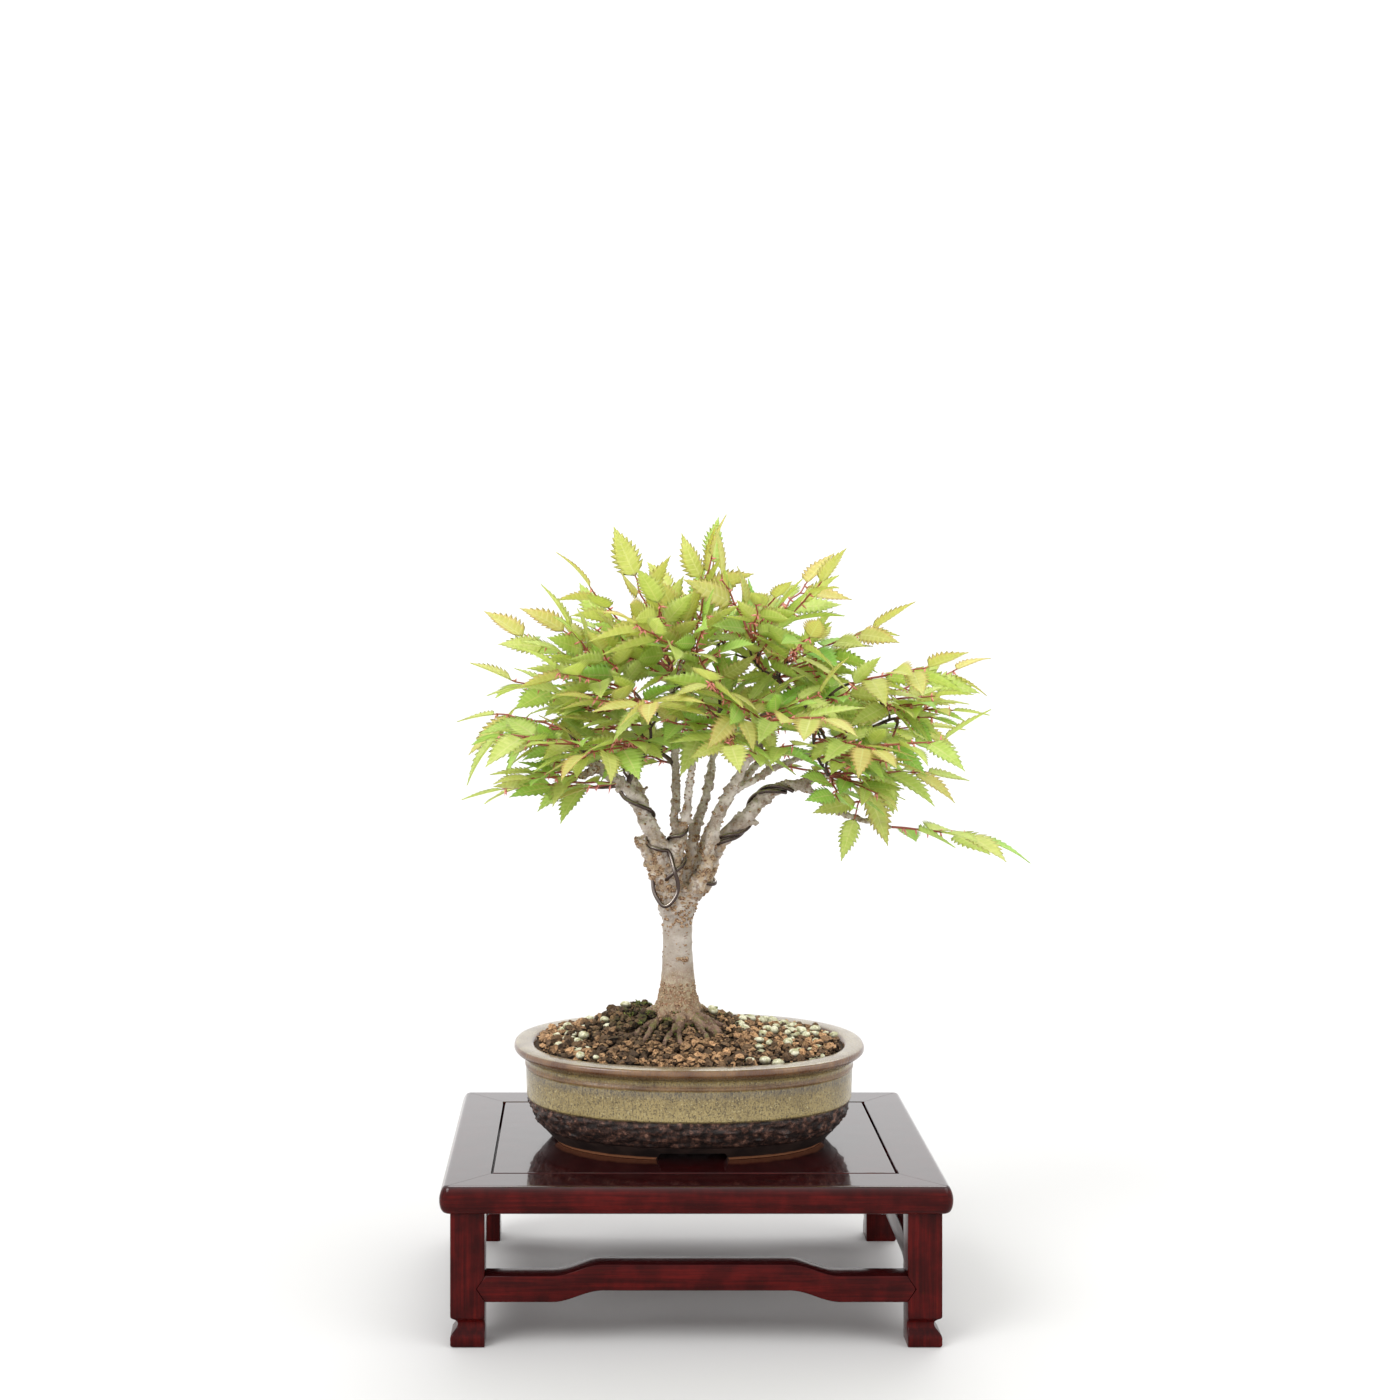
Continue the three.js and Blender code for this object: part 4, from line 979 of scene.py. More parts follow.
class Line(Path):
    def __init__(self, rows, origin=(0, 0, 0)):
        rows = np.array(rows, float)
        self.points, self.radii = rows[:, :3] + np.array(origin), rows[:, 3]
        self.last = len(rows) - 1

    def point(self, t):
        place = self.last * t
        i = min(int(place), self.last - 1)
        w = place - i
        here, there = self.points[i], self.points[i + 1]
        before = self.points[i - 1] if i > 0 else 2 * here - there
        after = self.points[i + 2] if i + 2 <= self.last else 2 * there - here
        leaving, arriving = 0.5 * (there - before), 0.5 * (after - here)
        bent = (-3 * here + 3 * there - 2 * leaving - arriving) * w**2
        return here + leaving * w + bent + (2 * here - 2 * there + leaving + arriving) * w**3

    def radius(self, t):
        return float(np.interp(t * self.last, range(self.last + 1), self.radii))


class Bend(Path):
    def __init__(self, start, leaving, end, arriving, thick, thin):
        reach = np.linalg.norm(end - start) * 0.4
        self.handles = [start, start + leaving * reach, end - arriving * reach, end]
        self.thick, self.thin = thick, thin

    def point(self, t):
        a, b, c, d = self.handles
        return (1 - t) ** 3 * a + 3 * (1 - t) ** 2 * t * b + 3 * (1 - t) * t**2 * c + t**3 * d

    def radius(self, t):
        return self.thick + (self.thin - self.thick) * t


trunk = Line(TRUNK, FORK)
limbs = {name: Line(rows, FORK) for name, rows in LIMBS.items()}
print("limbs:", len(limbs))

# %% [markdown]
# ## Where the shoots grow
#
# Each shoot of this year is a zigzag: a leaf at every joint, left and right in turn, the way a
# zelkova sets them. A ring of shoots at each of six heights makes the broom's dome. Angles of a
# ring are in degrees, and those of a leaf in radians.

# %% Shoots
TIERS = [
    dict(height=250, left=-118, right=150, depth=92, rise=2, lift=27, count=8, bearing=0),
    dict(height=278, left=-124, right=158, depth=98, rise=12, lift=13, count=8, bearing=22),
    dict(height=306, left=-118, right=158, depth=94, rise=20, lift=4, count=7, bearing=14),
    dict(height=334, left=-106, right=116, depth=78, rise=30, lift=0, count=6, bearing=0),
    dict(height=357, left=-62, right=84, depth=52, rise=42, lift=0, count=5, bearing=36),
    dict(height=376, left=-38, right=30, depth=18, rise=58, lift=0, count=3, bearing=60),
]
LOW_SHOOTS = [((169, -8, 220), (1, -0.08, -0.06)), ((70, -14, 212), (-0.45, -0.25, -0.85))]
CROWN_MIDDLE = 16
SHOOT = dict(seed=42, length=46, radius=0.65, joints=7, zigzag=0.7, sag=0.05, tilt=0.5)
LEAF_LENGTH, LEAF_SLIMNESS = (25, 33), (0.4, 0.48)
LEAF_PITCH, END_PITCH = (-0.5, 0.15), (-0.3, 0.2)


def plan_shoot(heading, joints, draw, tip=None, base=None, length=SHOOT["length"], size=1.0, calm=1.0):
    """A shoot that ends at a tip or starts at a base: its joints, and a leaf at each."""
    known = base if tip is None else tip
    outward = unit(vector(known[0] - CROWN_MIDDLE, known[1], 0))
    side = unit(np.cross(heading, outward * SHOOT["tilt"] + (0, 0, 1)))
    lift = np.cross(side, heading)
    length = length * draw(0.85, 1.05)
    end_leaf = draw(*LEAF_LENGTH) * 0.9 * size
    if base is None:
        base = tip - heading * (length + end_leaf)
    points = []
    for i in range(joints + 1):
        share = i / joints
        swing = 0 if i == 0 else SHOOT["zigzag"] * (1 if i % 2 == 0 else -1)
        sag = SHOOT["sag"] * length * share * share
        points.append(base + heading * (length * share) + side * swing - lift * sag)
    leaves = []
    for i, root in enumerate(points[1:]):
        last, hand, share = i == joints - 1, 1 if i % 2 == 0 else -1, (i + 1) / joints
        swing = draw(-0.2, 0.2) if last else hand * draw(0.75, 1.15) * (1.15 - 0.4 * share)
        long = end_leaf if last else draw(*LEAF_LENGTH) * (0.78 + 0.22 * math.sin(math.pi * share)) * size
        leaf = dict(root=root, heading=heading, side=side, lift=lift, hand=hand, swing=swing, length=long)
        leaf["half_width"] = long * draw(*LEAF_SLIMNESS) / 2
        leaf["pitch"] = (draw(*END_PITCH) if last else draw(*LEAF_PITCH)) * calm
        leaf["roll"], leaf["fold"], leaf["arch"] = draw(-0.6, 0.6) * calm, draw(0.1, 0.35), draw(0.02, 0.28)
        leaves.append(leaf)
    return dict(base=base, heading=heading, side=side, lift=lift, points=points, leaves=leaves)


def plan_crown():
    shoots = []
    for tier in TIERS:
        middle, half = (tier["right"] + tier["left"]) / 2, (tier["right"] - tier["left"]) / 2
        for i in range(tier["count"]):
            draw = stream(SHOOT["seed"] + len(shoots))
            bearing = math.radians(tier["bearing"] + 360 * i / tier["count"] + draw(-9, 9))
            reach = draw(0.93, 1.04)
            rise = math.radians(tier["rise"] + draw(-7, 9))
            turn = bearing + draw(-0.3, 0.3)
            along, across = half * reach * math.cos(bearing), tier["depth"] * reach * math.sin(bearing)
            height = tier["height"] + tier["lift"] * math.sin(bearing) ** 2 + draw(-6, 6)
            tip = vector(middle + along, across, height)
            level = math.cos(rise)
            heading = vector(level * math.cos(turn), level * math.sin(turn), math.sin(rise))
            shoots.append(plan_shoot(heading, SHOOT["joints"], draw, tip=tip))
    for tip, heading in LOW_SHOOTS:
        draw = stream(SHOOT["seed"] + len(shoots))
        shoots.append(plan_shoot(unit(vector(*heading)), SHOOT["joints"], draw, tip=vector(*tip)))
    return shoots


def leaf_frame(leaf, lean):
    """The way a leaf runs, its left, and the way its upper face looks."""
    flat = leaf["heading"] * math.cos(leaf["swing"]) - leaf["side"] * math.sin(leaf["swing"])
    pitch = leaf["pitch"] + lean
    out = flat * math.cos(pitch) + leaf["lift"] * math.sin(pitch)
    level = -flat * math.sin(pitch) + leaf["lift"] * math.cos(pitch)
    face = level * math.cos(leaf["roll"]) + np.cross(level, out) * math.sin(leaf["roll"])
    return out, np.cross(face, out), face


LEANS = (0, 0.3, -0.3, 0.6, -0.6)
SAME_PLACE = 0.15


def find_leans(shoot, node):
    """How far each leaf of a spray leans in the CAD model, found from the tip of its blade."""
    corners = np.array([v.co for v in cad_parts[node].data.vertices]) / MM - STAND_MIDDLE
    for leaf in shoot["leaves"]:
        leaf["lean"] = None
        for lean in LEANS:
            out, _, face = leaf_frame(leaf, lean)
            tip = leaf["root"] + leaf["length"] * (out - leaf["arch"] * face)
            if np.linalg.norm(corners - tip, axis=1).min() < SAME_PLACE:
                leaf["lean"] = lean
                break


shoots = plan_crown()
SPRAYS = [f"spray_{i + 1:02d}" for i in range(len(shoots))]
for shoot, node in zip(shoots, SPRAYS):
    find_leans(shoot, node)
leaf_count = sum(leaf["lean"] is not None for shoot in shoots for leaf in shoot["leaves"])
print(f"{len(shoots)} sprays with {leaf_count} of {sum(len(s['leaves']) for s in shoots)} leaves")

# %% Branches to the shoots
BRANCH_RINGS = 3
FIT_BEHIND = 0.3


def detour(start, base):
    """How far a base lies from a start, more if the branch has to turn or to go down."""
    way = base - start["point"]
    distance = np.linalg.norm(way)
    turn = 1 - way.dot(start["along"]) / distance
    return distance * (1 + 0.9 * turn) + 2 * max(start["point"][2] - base[2], 0)


def plan_branches():
    """Each limb carries on into one shoot, and the others take the nearest wood."""
    starts = []

    def add_starts(path, first, last, rings):
        for ring in range(first, last + 1):
            along = path.along(ring / rings)
            point = path.point(ring / rings) - along * SHOOT["radius"]
            starts.append(dict(point=point, along=along, radius=path.radius(ring / rings)))

    def branch(start, shoot):
        end = shoot["base"] - shoot["heading"] * FIT_BEHIND
        thick = min(0.85 * start["radius"], 1.5)
        path = Bend(start["point"], start["along"], end, shoot["heading"], thick, SHOOT["radius"])
        add_starts(path, 1, BRANCH_RINGS - 1, BRANCH_RINGS)
        return path

    waiting = sorted(shoots, key=lambda shoot: np.linalg.norm(shoot["base"] - FORK))
    ends = []
    for name, path in limbs.items():
        if name != "stub":
            add_starts(path, 2, path.last, path.last)
            ends.append(starts[-1])
    branches = []
    for end in ends:
        chosen = min(range(len(waiting)), key=lambda i: detour(end, waiting[i]["base"]))
        branches.append(branch(end, waiting.pop(chosen)))
    for shoot in waiting:
        branches.append(branch(min(starts, key=lambda start: detour(start, shoot["base"])), shoot))
    return branches


branches = plan_branches()
spans = [np.linalg.norm(path.handles[3] - path.handles[0]) for path in branches]
print(f"branches: {len(branches)}, the longest {max(spans):.0f} mm")

# %% [markdown]
# ## Trunk, limbs and roots
#
# An old trunk swells where roots leave it and where limbs meet, so its skin must flow from one
# to the next. Separate tubes would only cross. The Remesh modifier wraps them in one even skin
# of small voxels, the corners are relaxed, and then pushed out and in by noise for the bumps.
# Old knobs crowd the fork and the trunk's foot, and every limb has knobs and pruned stubs.

# %% Wood
VOXEL = 0.6
ROOTS = dict(bearings=(-38, -58, -88, -128, -172, 130, 78, 20), reach=33, slimmer=0.72)
# Shares of a root's reach, heights above the soil and radii.
ROOT_ROWS = [(0, 9, 4.6), (0.3, 2.6, 3.4), (0.55, 0.9, 2.3), (0.8, 0.1, 1.7), (1, -4, 1)]
FINE_ROOT = dict(first=14, radius=0.55, thin=0.7, swerve=(8, 13))
SOIL = dict(edge=118, rise=16, spread=45, across=1.45)
# How many knobs, their height from the fork, how far out, their spread in height, and radii.
KNOBS = [(40, 1, 7.8, 8, (1.2, 2.6)), (30, -60, 11.3, 5, (1.3, 2.6))]
LIMB_KNOBS, LIMB_STUBS = 5, 3


def soil_height(x, y):
    distance = np.hypot(x - FORK[0], SOIL["across"] * y)
    return SOIL["edge"] + SOIL["rise"] * np.exp(-((distance / SOIL["spread"]) ** 2))


def root_path(degrees):
    cos, sin = math.cos(math.radians(degrees)), math.sin(math.radians(degrees))
    rows = []
    for share, lift, radius in ROOT_ROWS:
        x, y = FORK[0] + cos * share * ROOTS["reach"], sin * share * ROOTS["reach"]
        rows.append((x, y, soil_height(x, y) + lift, radius))
    return Line(rows)


def ball(middle, radius, squash=(1, 1, 1), levels=2):
    shape = bmesh.new()
    bmesh.ops.create_icosphere(shape, subdivisions=levels, radius=1)
    corners = np.array([v.co for v in shape.verts]) * radius * np.array(squash) + middle
    faces = [[v.index for v in f.verts] for f in shape.faces]
    shape.free()
    return corners, faces


def lump(draw, middle, reach, height, sizes):
    """A rounded knob on the skin of an upright stem."""
    angle = draw(0, 2 * math.pi)
    place = middle + vector(reach * math.cos(angle), reach * math.sin(angle), draw(-height, height))
    return ball(place, draw(*sizes), (1, 1, 0.85))


def root_lines(degrees, draw):
    """A surface root and the finer one that leaves it, each a line of points with its radii."""
    points, radii = root_path(degrees).sampled(44)
    shares = np.linspace(0, 1, len(points))
    side = vector(-math.sin(math.radians(degrees)), math.cos(math.radians(degrees)), 0)
    sway = np.sin(shares * draw(6, 11) + draw(0, 6)) * 1.3 * shares
    knots = 1 + 0.16 * np.sin(shares * draw(18, 30)) * np.sin(shares * draw(40, 60))
    points = points + np.outer(sway, side) - np.outer(1.2 * shares * (1 - shares) * 2, vector(0, 0, 1))
    yield points, radii * ROOTS["slimmer"] * knots
    first = FINE_ROOT["first"]
    swerve = draw(*FINE_ROOT["swerve"]) * (1 if draw(0, 1) < 0.5 else -1)
    away = np.linspace(0, swerve, len(points) - first)
    fine = points[first:] + np.outer(away, side) - np.outer(np.abs(away) * 0.12, vector(0, 0, 1))
    yield fine, np.linspace(radii[first] * FINE_ROOT["radius"], FINE_ROOT["thin"], len(fine))


def sideways(path, t, draw):
    """A random way at right angles to a path."""
    return unit(np.cross(path.along(t), vector(draw(-1, 1), draw(-1, 1), draw(-1, 1))))


draw = stream(11)
heap = Heap()
heap.add(*tube(*trunk.sampled(60), 28))
for path in limbs.values():
    points, radii = path.sampled(14 * path.last)
    scars = 1 + 0.07 * np.sin(np.linspace(0, 2.2 * math.pi * path.last, len(radii)))
    heap.add(*tube(points, radii * scars, 16))
for degrees in ROOTS["bearings"]:
    for points, radii in root_lines(degrees, draw):
        heap.add(*tube(points, radii, 14))
for count, height, out, spread, sizes in KNOBS:
    for _ in range(count):
        heap.add(*lump(draw, FORK + (0, 0, height), out, spread, sizes))
for path in limbs.values():
    for _ in range(LIMB_KNOBS * path.last):
        t = draw(0.05, 0.9)
        side, radius = sideways(path, t, draw), path.radius(t)
        heap.add(*ball(path.point(t) + side * radius * draw(0.78, 1.0), radius * draw(0.32, 0.58)))
    for _ in range(LIMB_STUBS):
        t = draw(0.15, 0.8)
        along, radius = path.along(t), path.radius(t)
        way = unit(np.cross(along, vector(draw(-1, 1), draw(-1, 1), draw(-1, 1))) + along * draw(0, 0.8))
        start = path.point(t) + way * radius * 0.5
        stub_line = [start, start + way * (radius * 0.6 + draw(1, 3.6))]
        heap.add(*tube(stub_line, [radius * 0.5, max(radius * 0.36, 0.9)], 10))
wood_skin = solid("wood_skin", np.vstack(heap.corners), heap.faces)
remesh = wood_skin.modifiers.new("skin", "REMESH")
remesh.mode, remesh.voxel_size = "VOXEL", VOXEL * MM
apply_modifiers(wood_skin)
mesh = wood_skin.data
skin = np.empty(3 * len(mesh.vertices))
mesh.vertices.foreach_get("co", skin)
skin = skin.reshape(-1, 3) / MM - STAND_MIDDLE
skin_faces = [tuple(face.vertices) for face in mesh.polygons]
edges = np.empty(2 * len(mesh.edges), int)
mesh.edges.foreach_get("vertices", edges)
edges = edges.reshape(-1, 2)
bpy.data.objects.remove(wood_skin)
print("wood skin:", len(skin), "corners")


def relaxed(corners, edges, rounds, share=0.5):
    """Corners moved towards the middle of their neighbours."""
    count = np.bincount(edges.ravel(), minlength=len(corners))[:, None]
    for _ in range(rounds):
        total = np.zeros_like(corners)
        np.add.at(total, edges[:, 0], corners[edges[:, 1]])
        np.add.at(total, edges[:, 1], corners[edges[:, 0]])
        corners = corners + share * (total / np.maximum(count, 1) - corners)
    return corners


def outward_ways(corners, faces):
    """The way each corner faces."""
    quads = np.array([face if len(face) == 4 else face + face[-1:] for face in faces])
    first, second, third, last = (corners[column] for column in quads.T)
    normals = np.cross(third - first, last - second)
    ways = np.zeros_like(corners)
    for column in quads.T:
        np.add.at(ways, column, normals)
    return ways / np.maximum(np.linalg.norm(ways, axis=1), 1e-9)[:, None]


skin = relaxed(skin, edges, 3)
ways = outward_ways(skin, skin_faces)
below_fork, above_foot = FORK[2] - 8 - skin[:, 2], skin[:, 2] - 141
is_trunk = np.clip(below_fork / 8, 0, 1) * np.clip(above_foot / 12, 0, 1)
knobs = np.clip(rough(skin, 3.6, 1), -0.5, 1) * (0.75 - 0.62 * is_trunk)
pimples = np.clip(rough(skin * (1, 1, 1.5), 1.5, 2) - 0.15, 0, 1) * (0.8 - 0.64 * is_trunk)
bumps = knobs + pimples
skin = skin + ways * bumps[:, None]
print(f"bumps on the skin: {bumps.min():.2f} to {bumps.max():.2f} mm")

# %% [markdown]
# ## Bark
#
# A young zelkova's bark is smooth and grey, with small reddish cork pores in level dashes. Here
# the trunk is a pale beige with broad clouds, and its pores are stretched cells. The limbs are
# greyer and rougher, stained tan and brown round the fork. The trunk's foot is brown with warts
# of cork, the roots are darkest, with a film of moss, and the thin wood is dark as well. A heap's
# first tint marks cork and its second marks thin wood.

# %% The bark
CORK = 1.0
ROUND_FORK = (178, 190), (206, 232)
LIMB_EDGE, STAIN_EDGE, ROOT_EDGE = (180, 200), (143, 164), (130, 142)

bark = Finish("bark")
clouds = bark.step(bark.noise(7, detail=4), 0.36, 0.66)
fine = bark.noise(0.8, detail=4, rough=0.7)
pores = 1 - bark.step(bark.cells(1.5, vector=bark.squeezed(0.5, 0.5, 1.7))["Distance"], 0.14, 0.34)
pores = pores * bark.step(bark.noise(3.2), 0.46, 0.6)
tint = bark.stored("tint")
pale = bark.paint(
    bark.mix(clouds, (0.4, 0.34, 0.285), (0.53, 0.47, 0.415)),
    (bark.step(fine, 0.5, 0.75) * 0.4, (0.62, 0.57, 0.52)),
    (pores * 0.75, (0.4, 0.2, 0.115)),
)
by_fork = bark.band(bark.height(), *ROUND_FORK)
limb_grey = bark.paint(
    bark.mix(clouds, (0.37, 0.3, 0.24), (0.7, 0.63, 0.56)),
    (bark.step(bark.noise(2.6, detail=3), 0.54, 0.64) * 0.6, (0.22, 0.12, 0.065)),
    (bark.step(fine, 0.5, 0.7) * 0.5, (0.74, 0.67, 0.58)),
    (pores * 0.6, (0.2, 0.11, 0.065)),
    (by_fork * bark.step(bark.noise(3.4, detail=3), 0.45, 0.6) * 0.65, (0.5, 0.34, 0.18)),
    (by_fork * bark.step(bark.noise(2.1, detail=4), 0.56, 0.64) * 0.65, (0.13, 0.06, 0.03)),
)
foot_brown = bark.paint(
    bark.mix(clouds, (0.24, 0.15, 0.075), (0.4, 0.32, 0.19)),
    (bark.step(bark.noise(2.0, detail=3), 0.5, 0.6) * 0.85, (0.24, 0.1, 0.04)),
    (bark.step(fine, 0.52, 0.66) * 0.6, (0.68, 0.56, 0.42)),
)
root_brown = bark.paint(
    bark.mix(clouds, (0.1, 0.055, 0.035), (0.27, 0.165, 0.12)),
    (bark.step(fine, 0.48, 0.7) * 0.6, (0.4, 0.27, 0.2)),
    (bark.step(bark.noise(4, detail=3), 0.5, 0.62) * 0.7, (0.12, 0.13, 0.03)),
)
level = bark.height() + (bark.noise(8) - 0.5) * 14
bark_colour = bark.paint(
    pale,
    (bark.step(level, *LIMB_EDGE), limb_grey),
    ((1 - bark.step(level, *STAIN_EDGE)) * 0.9, foot_brown),
    (1 - bark.step(level, *ROOT_EDGE), root_brown),
    (tint["Y"], bark.mix(clouds, (0.045, 0.028, 0.022), (0.16, 0.11, 0.085))),
    (tint["X"], bark.mix(bark.step(fine, 0.38, 0.6), (0.13, 0.055, 0.03), (0.52, 0.36, 0.22))),
)
bark.end_with_surface(
    {
        "Base Color": bark_colour,
        "Roughness": 0.6 + fine * 0.25,
        "Specular IOR Level": 0.35,
        "Normal": bark.bump(fine * 0.9 + pores * 0.7 + clouds * 0.3, 0.5),
    }
)
heap = Heap()
heap.add(skin, skin_faces, tint=(0, 0))
heap.piece("trunk_and_limbs", "bark", [bark], ["zelkova_wood"])

# %% [markdown]
# ## Cork pores and warts
#
# The pores of the bark stand proud as little level dashes of reddish cork. They crowd round the
# trunk's foot and its fork, and halfway up the trunk a ledge of warts marks an old wound. Each is
# a flattened ball, set into the skin where a ray from outside meets it.

# %% Cork pores
PORES = [
    # lowest and highest height, how many, half-lengths and half-heights
    (125, 140, 220, (0.6, 1.4), (0.45, 0.95)),
    (140, 149, 110, (0.5, 1.3), (0.35, 0.75)),
    (152, 176, 34, (0.4, 1.0), (0.25, 0.45)),
    (176, 187, 70, (0.6, 1.5), (0.45, 1.1)),
    (184, 206, 150, (0.6, 1.8), (0.5, 1.4)),
]
LEDGE = dict(warts=12, bearings=(-100, -44), height=160.5)
LIMB_PORES = 700
OUTSIDE_WOOD, TRUNK_REACH = 26, 17
BALL, BALL_FACES = ball(vector(0, 0, 0), 1.0)
SMALL_BALL, SMALL_FACES = ball(vector(0, 0, 0), 1.0, levels=1)
wood_tree = BVHTree.FromPolygons(skin.tolist(), skin_faces)


def set_pore(heap, spot, way, half_length, half_height):
    """A flattened ball that lies level on the skin, or askew where the skin does."""
    level = unit(np.cross(way, vector(0, 0, 1)) + 1e-6)
    up = np.cross(level, way)
    depth = min(half_length, half_height) * 0.75
    x, y, z = SMALL_BALL[:, :1], SMALL_BALL[:, 1:2], SMALL_BALL[:, 2:]
    corners = x * level * half_length + y * up * half_height + z * way * depth
    heap.add(corners + spot, SMALL_FACES, tint=(CORK, 0))


def on_trunk(angle, height):
    """Where a level ray from outside meets the skin, and the way the skin faces there."""
    way = vector(math.cos(angle), math.sin(angle), 0)
    middle = vector(FORK[0], FORK[1], height)
    return wood_tree.ray_cast(middle + way * OUTSIDE_WOOD, -way)[:2]


heap = Heap()
draw = stream(21)
for low, high, count, lengths, heights in PORES:
    for _ in range(count):
        angle, z = draw(0, 2 * math.pi), draw(low, high)
        hit, normal = on_trunk(angle, z)
        if hit is not None and math.hypot(hit[0] - FORK[0], hit[1]) < TRUNK_REACH:
            set_pore(heap, np.array(hit), np.array(normal), draw(*lengths), draw(*heights))
for _ in range(LEDGE["warts"]):
    hit, normal = on_trunk(math.radians(draw(*LEDGE["bearings"])), LEDGE["height"] + draw(-0.8, 0.8))
    set_pore(heap, np.array(hit), np.array(normal), draw(0.9, 1.6), draw(0.7, 1.1))
for _ in range(LIMB_PORES):
    path = list(limbs.values())[int(draw(0, 1) * len(limbs)) % len(limbs)]
    t = draw(0, 0.95)
    way = sideways(path, t, draw)
    hit, normal, _, _ = wood_tree.ray_cast(path.point(t) + way * (path.radius(t) + 3), -way)
    if hit is not None:
        size = draw(0.4, 0.9) * (1 + 1.1 * math.exp(-(((hit[2] - 205) / 28) ** 2)))
        set_pore(heap, np.array(hit), np.array(normal), size, size * draw(0.5, 0.95))
heap.piece("cork_pores", "bark", [bark])

# %% [markdown]
# ## Thin branches
#
# The thin branches are too slight for the voxel skin. Each is a tube along its bent line, with
# a swelling at every old leaf scar. Most scars carry a bud, and the others a short pruned stub.

# %% Thin branches
SCAR_SPACING = 6.5
BUD_SHARE = 0.8


def bud(place, way, size):
    """A small pointed bud that leans along a way."""
    points = [place, place + way * size * 0.5, place + way * size]
    return tube(points, [size * 0.3, size * 0.34, 0.02], 6)


heap = Heap()
for number, (path, length) in enumerate(zip(branches, spans)):
    draw = stream(600 + number)
    steps = max(int(length), 6)
    points, radii = path.sampled(steps)
    shares = np.linspace(0, 1, steps + 1)
    scars = np.cos(2 * np.pi * shares * length / SCAR_SPACING)
    radii = radii * (1 + 0.16 * np.clip(scars - 0.5, 0, 1) * 2)
    heap.add(*tube(points, radii, 9), tint=(0, 1))
    for k in range(1, int(length / SCAR_SPACING)):
        t = k * SCAR_SPACING / length
        along = path.along(t)
        side = unit(np.cross(along, vector(draw(-1, 1), draw(-1, 1), draw(-0.3, 1))))
        way = unit(along * draw(0.5, 1.1) + side)
        foot = path.point(t) + side * path.radius(t) * 0.5
        if draw(0, 1) < BUD_SHARE:
            heap.add(*bud(foot, way, draw(1.3, 2.2)), tint=(0.1, 1))
            continue
        bend = vector(draw(-0.3, 0.3), draw(-0.3, 0.3), draw(0, 0.5))
        stub_length = draw(4, 8.5)
        stub_line = [foot, foot + way * stub_length * 0.5, foot + (way + bend) * stub_length]
        heap.add(*tube(stub_line, [0.75, 0.6, 0.5], 7), tint=(0, 1))
        heap.add(*bud(stub_line[1], unit(way + side), 1.5), tint=(0.1, 1))
heap.piece("thin_branches", "bark", [bark], ["zelkova_wood"])

# %% [markdown]
# ## A leaf
#
# A zelkova leaf is egg-shaped with a long tip. Its side veins run forward from the midrib, and
# each ends in a tooth, so one grid serves for all: every third row of the grid is a vein, bends
# forward, and ends in the tooth's point. The blade is pleated a little between the veins. One
# flat pattern is worked out once, then bent and turned for every leaf. It has an upper and an
# under face that meet at the margin, so the leaf is a thin closed body.

# %% The leaf's pattern
TEETH = 9
PER_TOOTH = 3
COLUMNS = np.array([-1, -0.55, 0, 0.55, 1])
SWEPT = 0.1
# How far the point, the notch and the back of a tooth stand out, lie forward and are pleated.
TOOTH_OUT, TOOTH_FORWARD, TOOTH_PLEAT = (0.15, -0.17, -0.03), (0.034, -0.012, 0), (-0.26, 0.1, 0.18)
GROOVE, HALF_THICK, RIB = -0.08, 0.13, 0.16
# Shares of the blade's length, and of its half-width there.
OUTLINE = [
    (0, 0.05), (0.03, 0.34), (0.08, 0.62), (0.16, 0.86), (0.26, 0.98), (0.36, 1), (0.48, 0.93), (0.6, 0.77),
    (0.7, 0.57), (0.8, 0.35), (0.88, 0.18), (0.95, 0.07), (1, 0.02),
]
STALK_SHARE = 0.07


def leaf_pattern():
    """Corners as shares of the length and the half-width, with a lift in mm, and their faces."""
    rows = TEETH * PER_TOOTH + 1
    shares, widths = np.array(OUTLINE).T
    top, flat = [], []
    for row in range(rows):
        v = row / rows
        phase = row % PER_TOOTH
        tooth = TOOTH_OUT[phase] if row >= PER_TOOTH else 0
        for c in COLUMNS:
            a = abs(c)
            along = v + SWEPT * a * (1 - v) ** 0.6
            edge = v + SWEPT * (1 - v) ** 0.6
            width = np.interp(edge, shares, widths) * (1 + tooth * a**3 * (1.6 - v))
            pleat = TOOTH_PLEAT[phase] * 4 * a * (1 - a) * min(1, 3 * (1 - v))
            groove = GROOVE if c == 0 else 0
            along += TOOTH_FORWARD[phase] * a**3 * min(1, 5 * (1 - v))
            top.append((along, c * width, pleat + groove))
            flat.append((0.5 + c / 2, v * rows / PER_TOOTH / TEETH))
    columns = len(COLUMNS)
    inner = [i for i in range(len(top)) if 0 < i % columns < columns - 1]
    under = {i: len(top) + k for k, i in enumerate(inner)}
    corners = np.array(top + [top[i] for i in inner] + [(1.0, 0, 0)])
    thickness = np.zeros(len(corners))
    for i, below in under.items():
        c = abs(COLUMNS[i % columns])
        thickness[i] = HALF_THICK * (1 - 0.3 * c)
        thickness[below] = -HALF_THICK * (1 - 0.3 * c) - (RIB if c == 0 else 0)
    uvs = np.array(flat + [flat[i] for i in inner] + [(0.5, 1)])
    tip = len(corners) - 1
    faces = []
    for row in range(rows - 1):
        for column in range(columns - 1):
            a = row * columns + column
            loop = (a, a + columns, a + columns + 1, a + 1)
            faces.append(loop)
            faces.append(tuple(under.get(i, i) for i in loop[::-1]))
    for column in range(columns - 1):
        a = (rows - 1) * columns + column
        faces += [(a, tip, a + 1), (under.get(a + 1, a + 1), tip, under.get(a, a))]
    faces.append(tuple(range(columns)) + tuple(under[i] for i in range(columns - 2, 0, -1)))
    return corners, thickness, faces, uvs


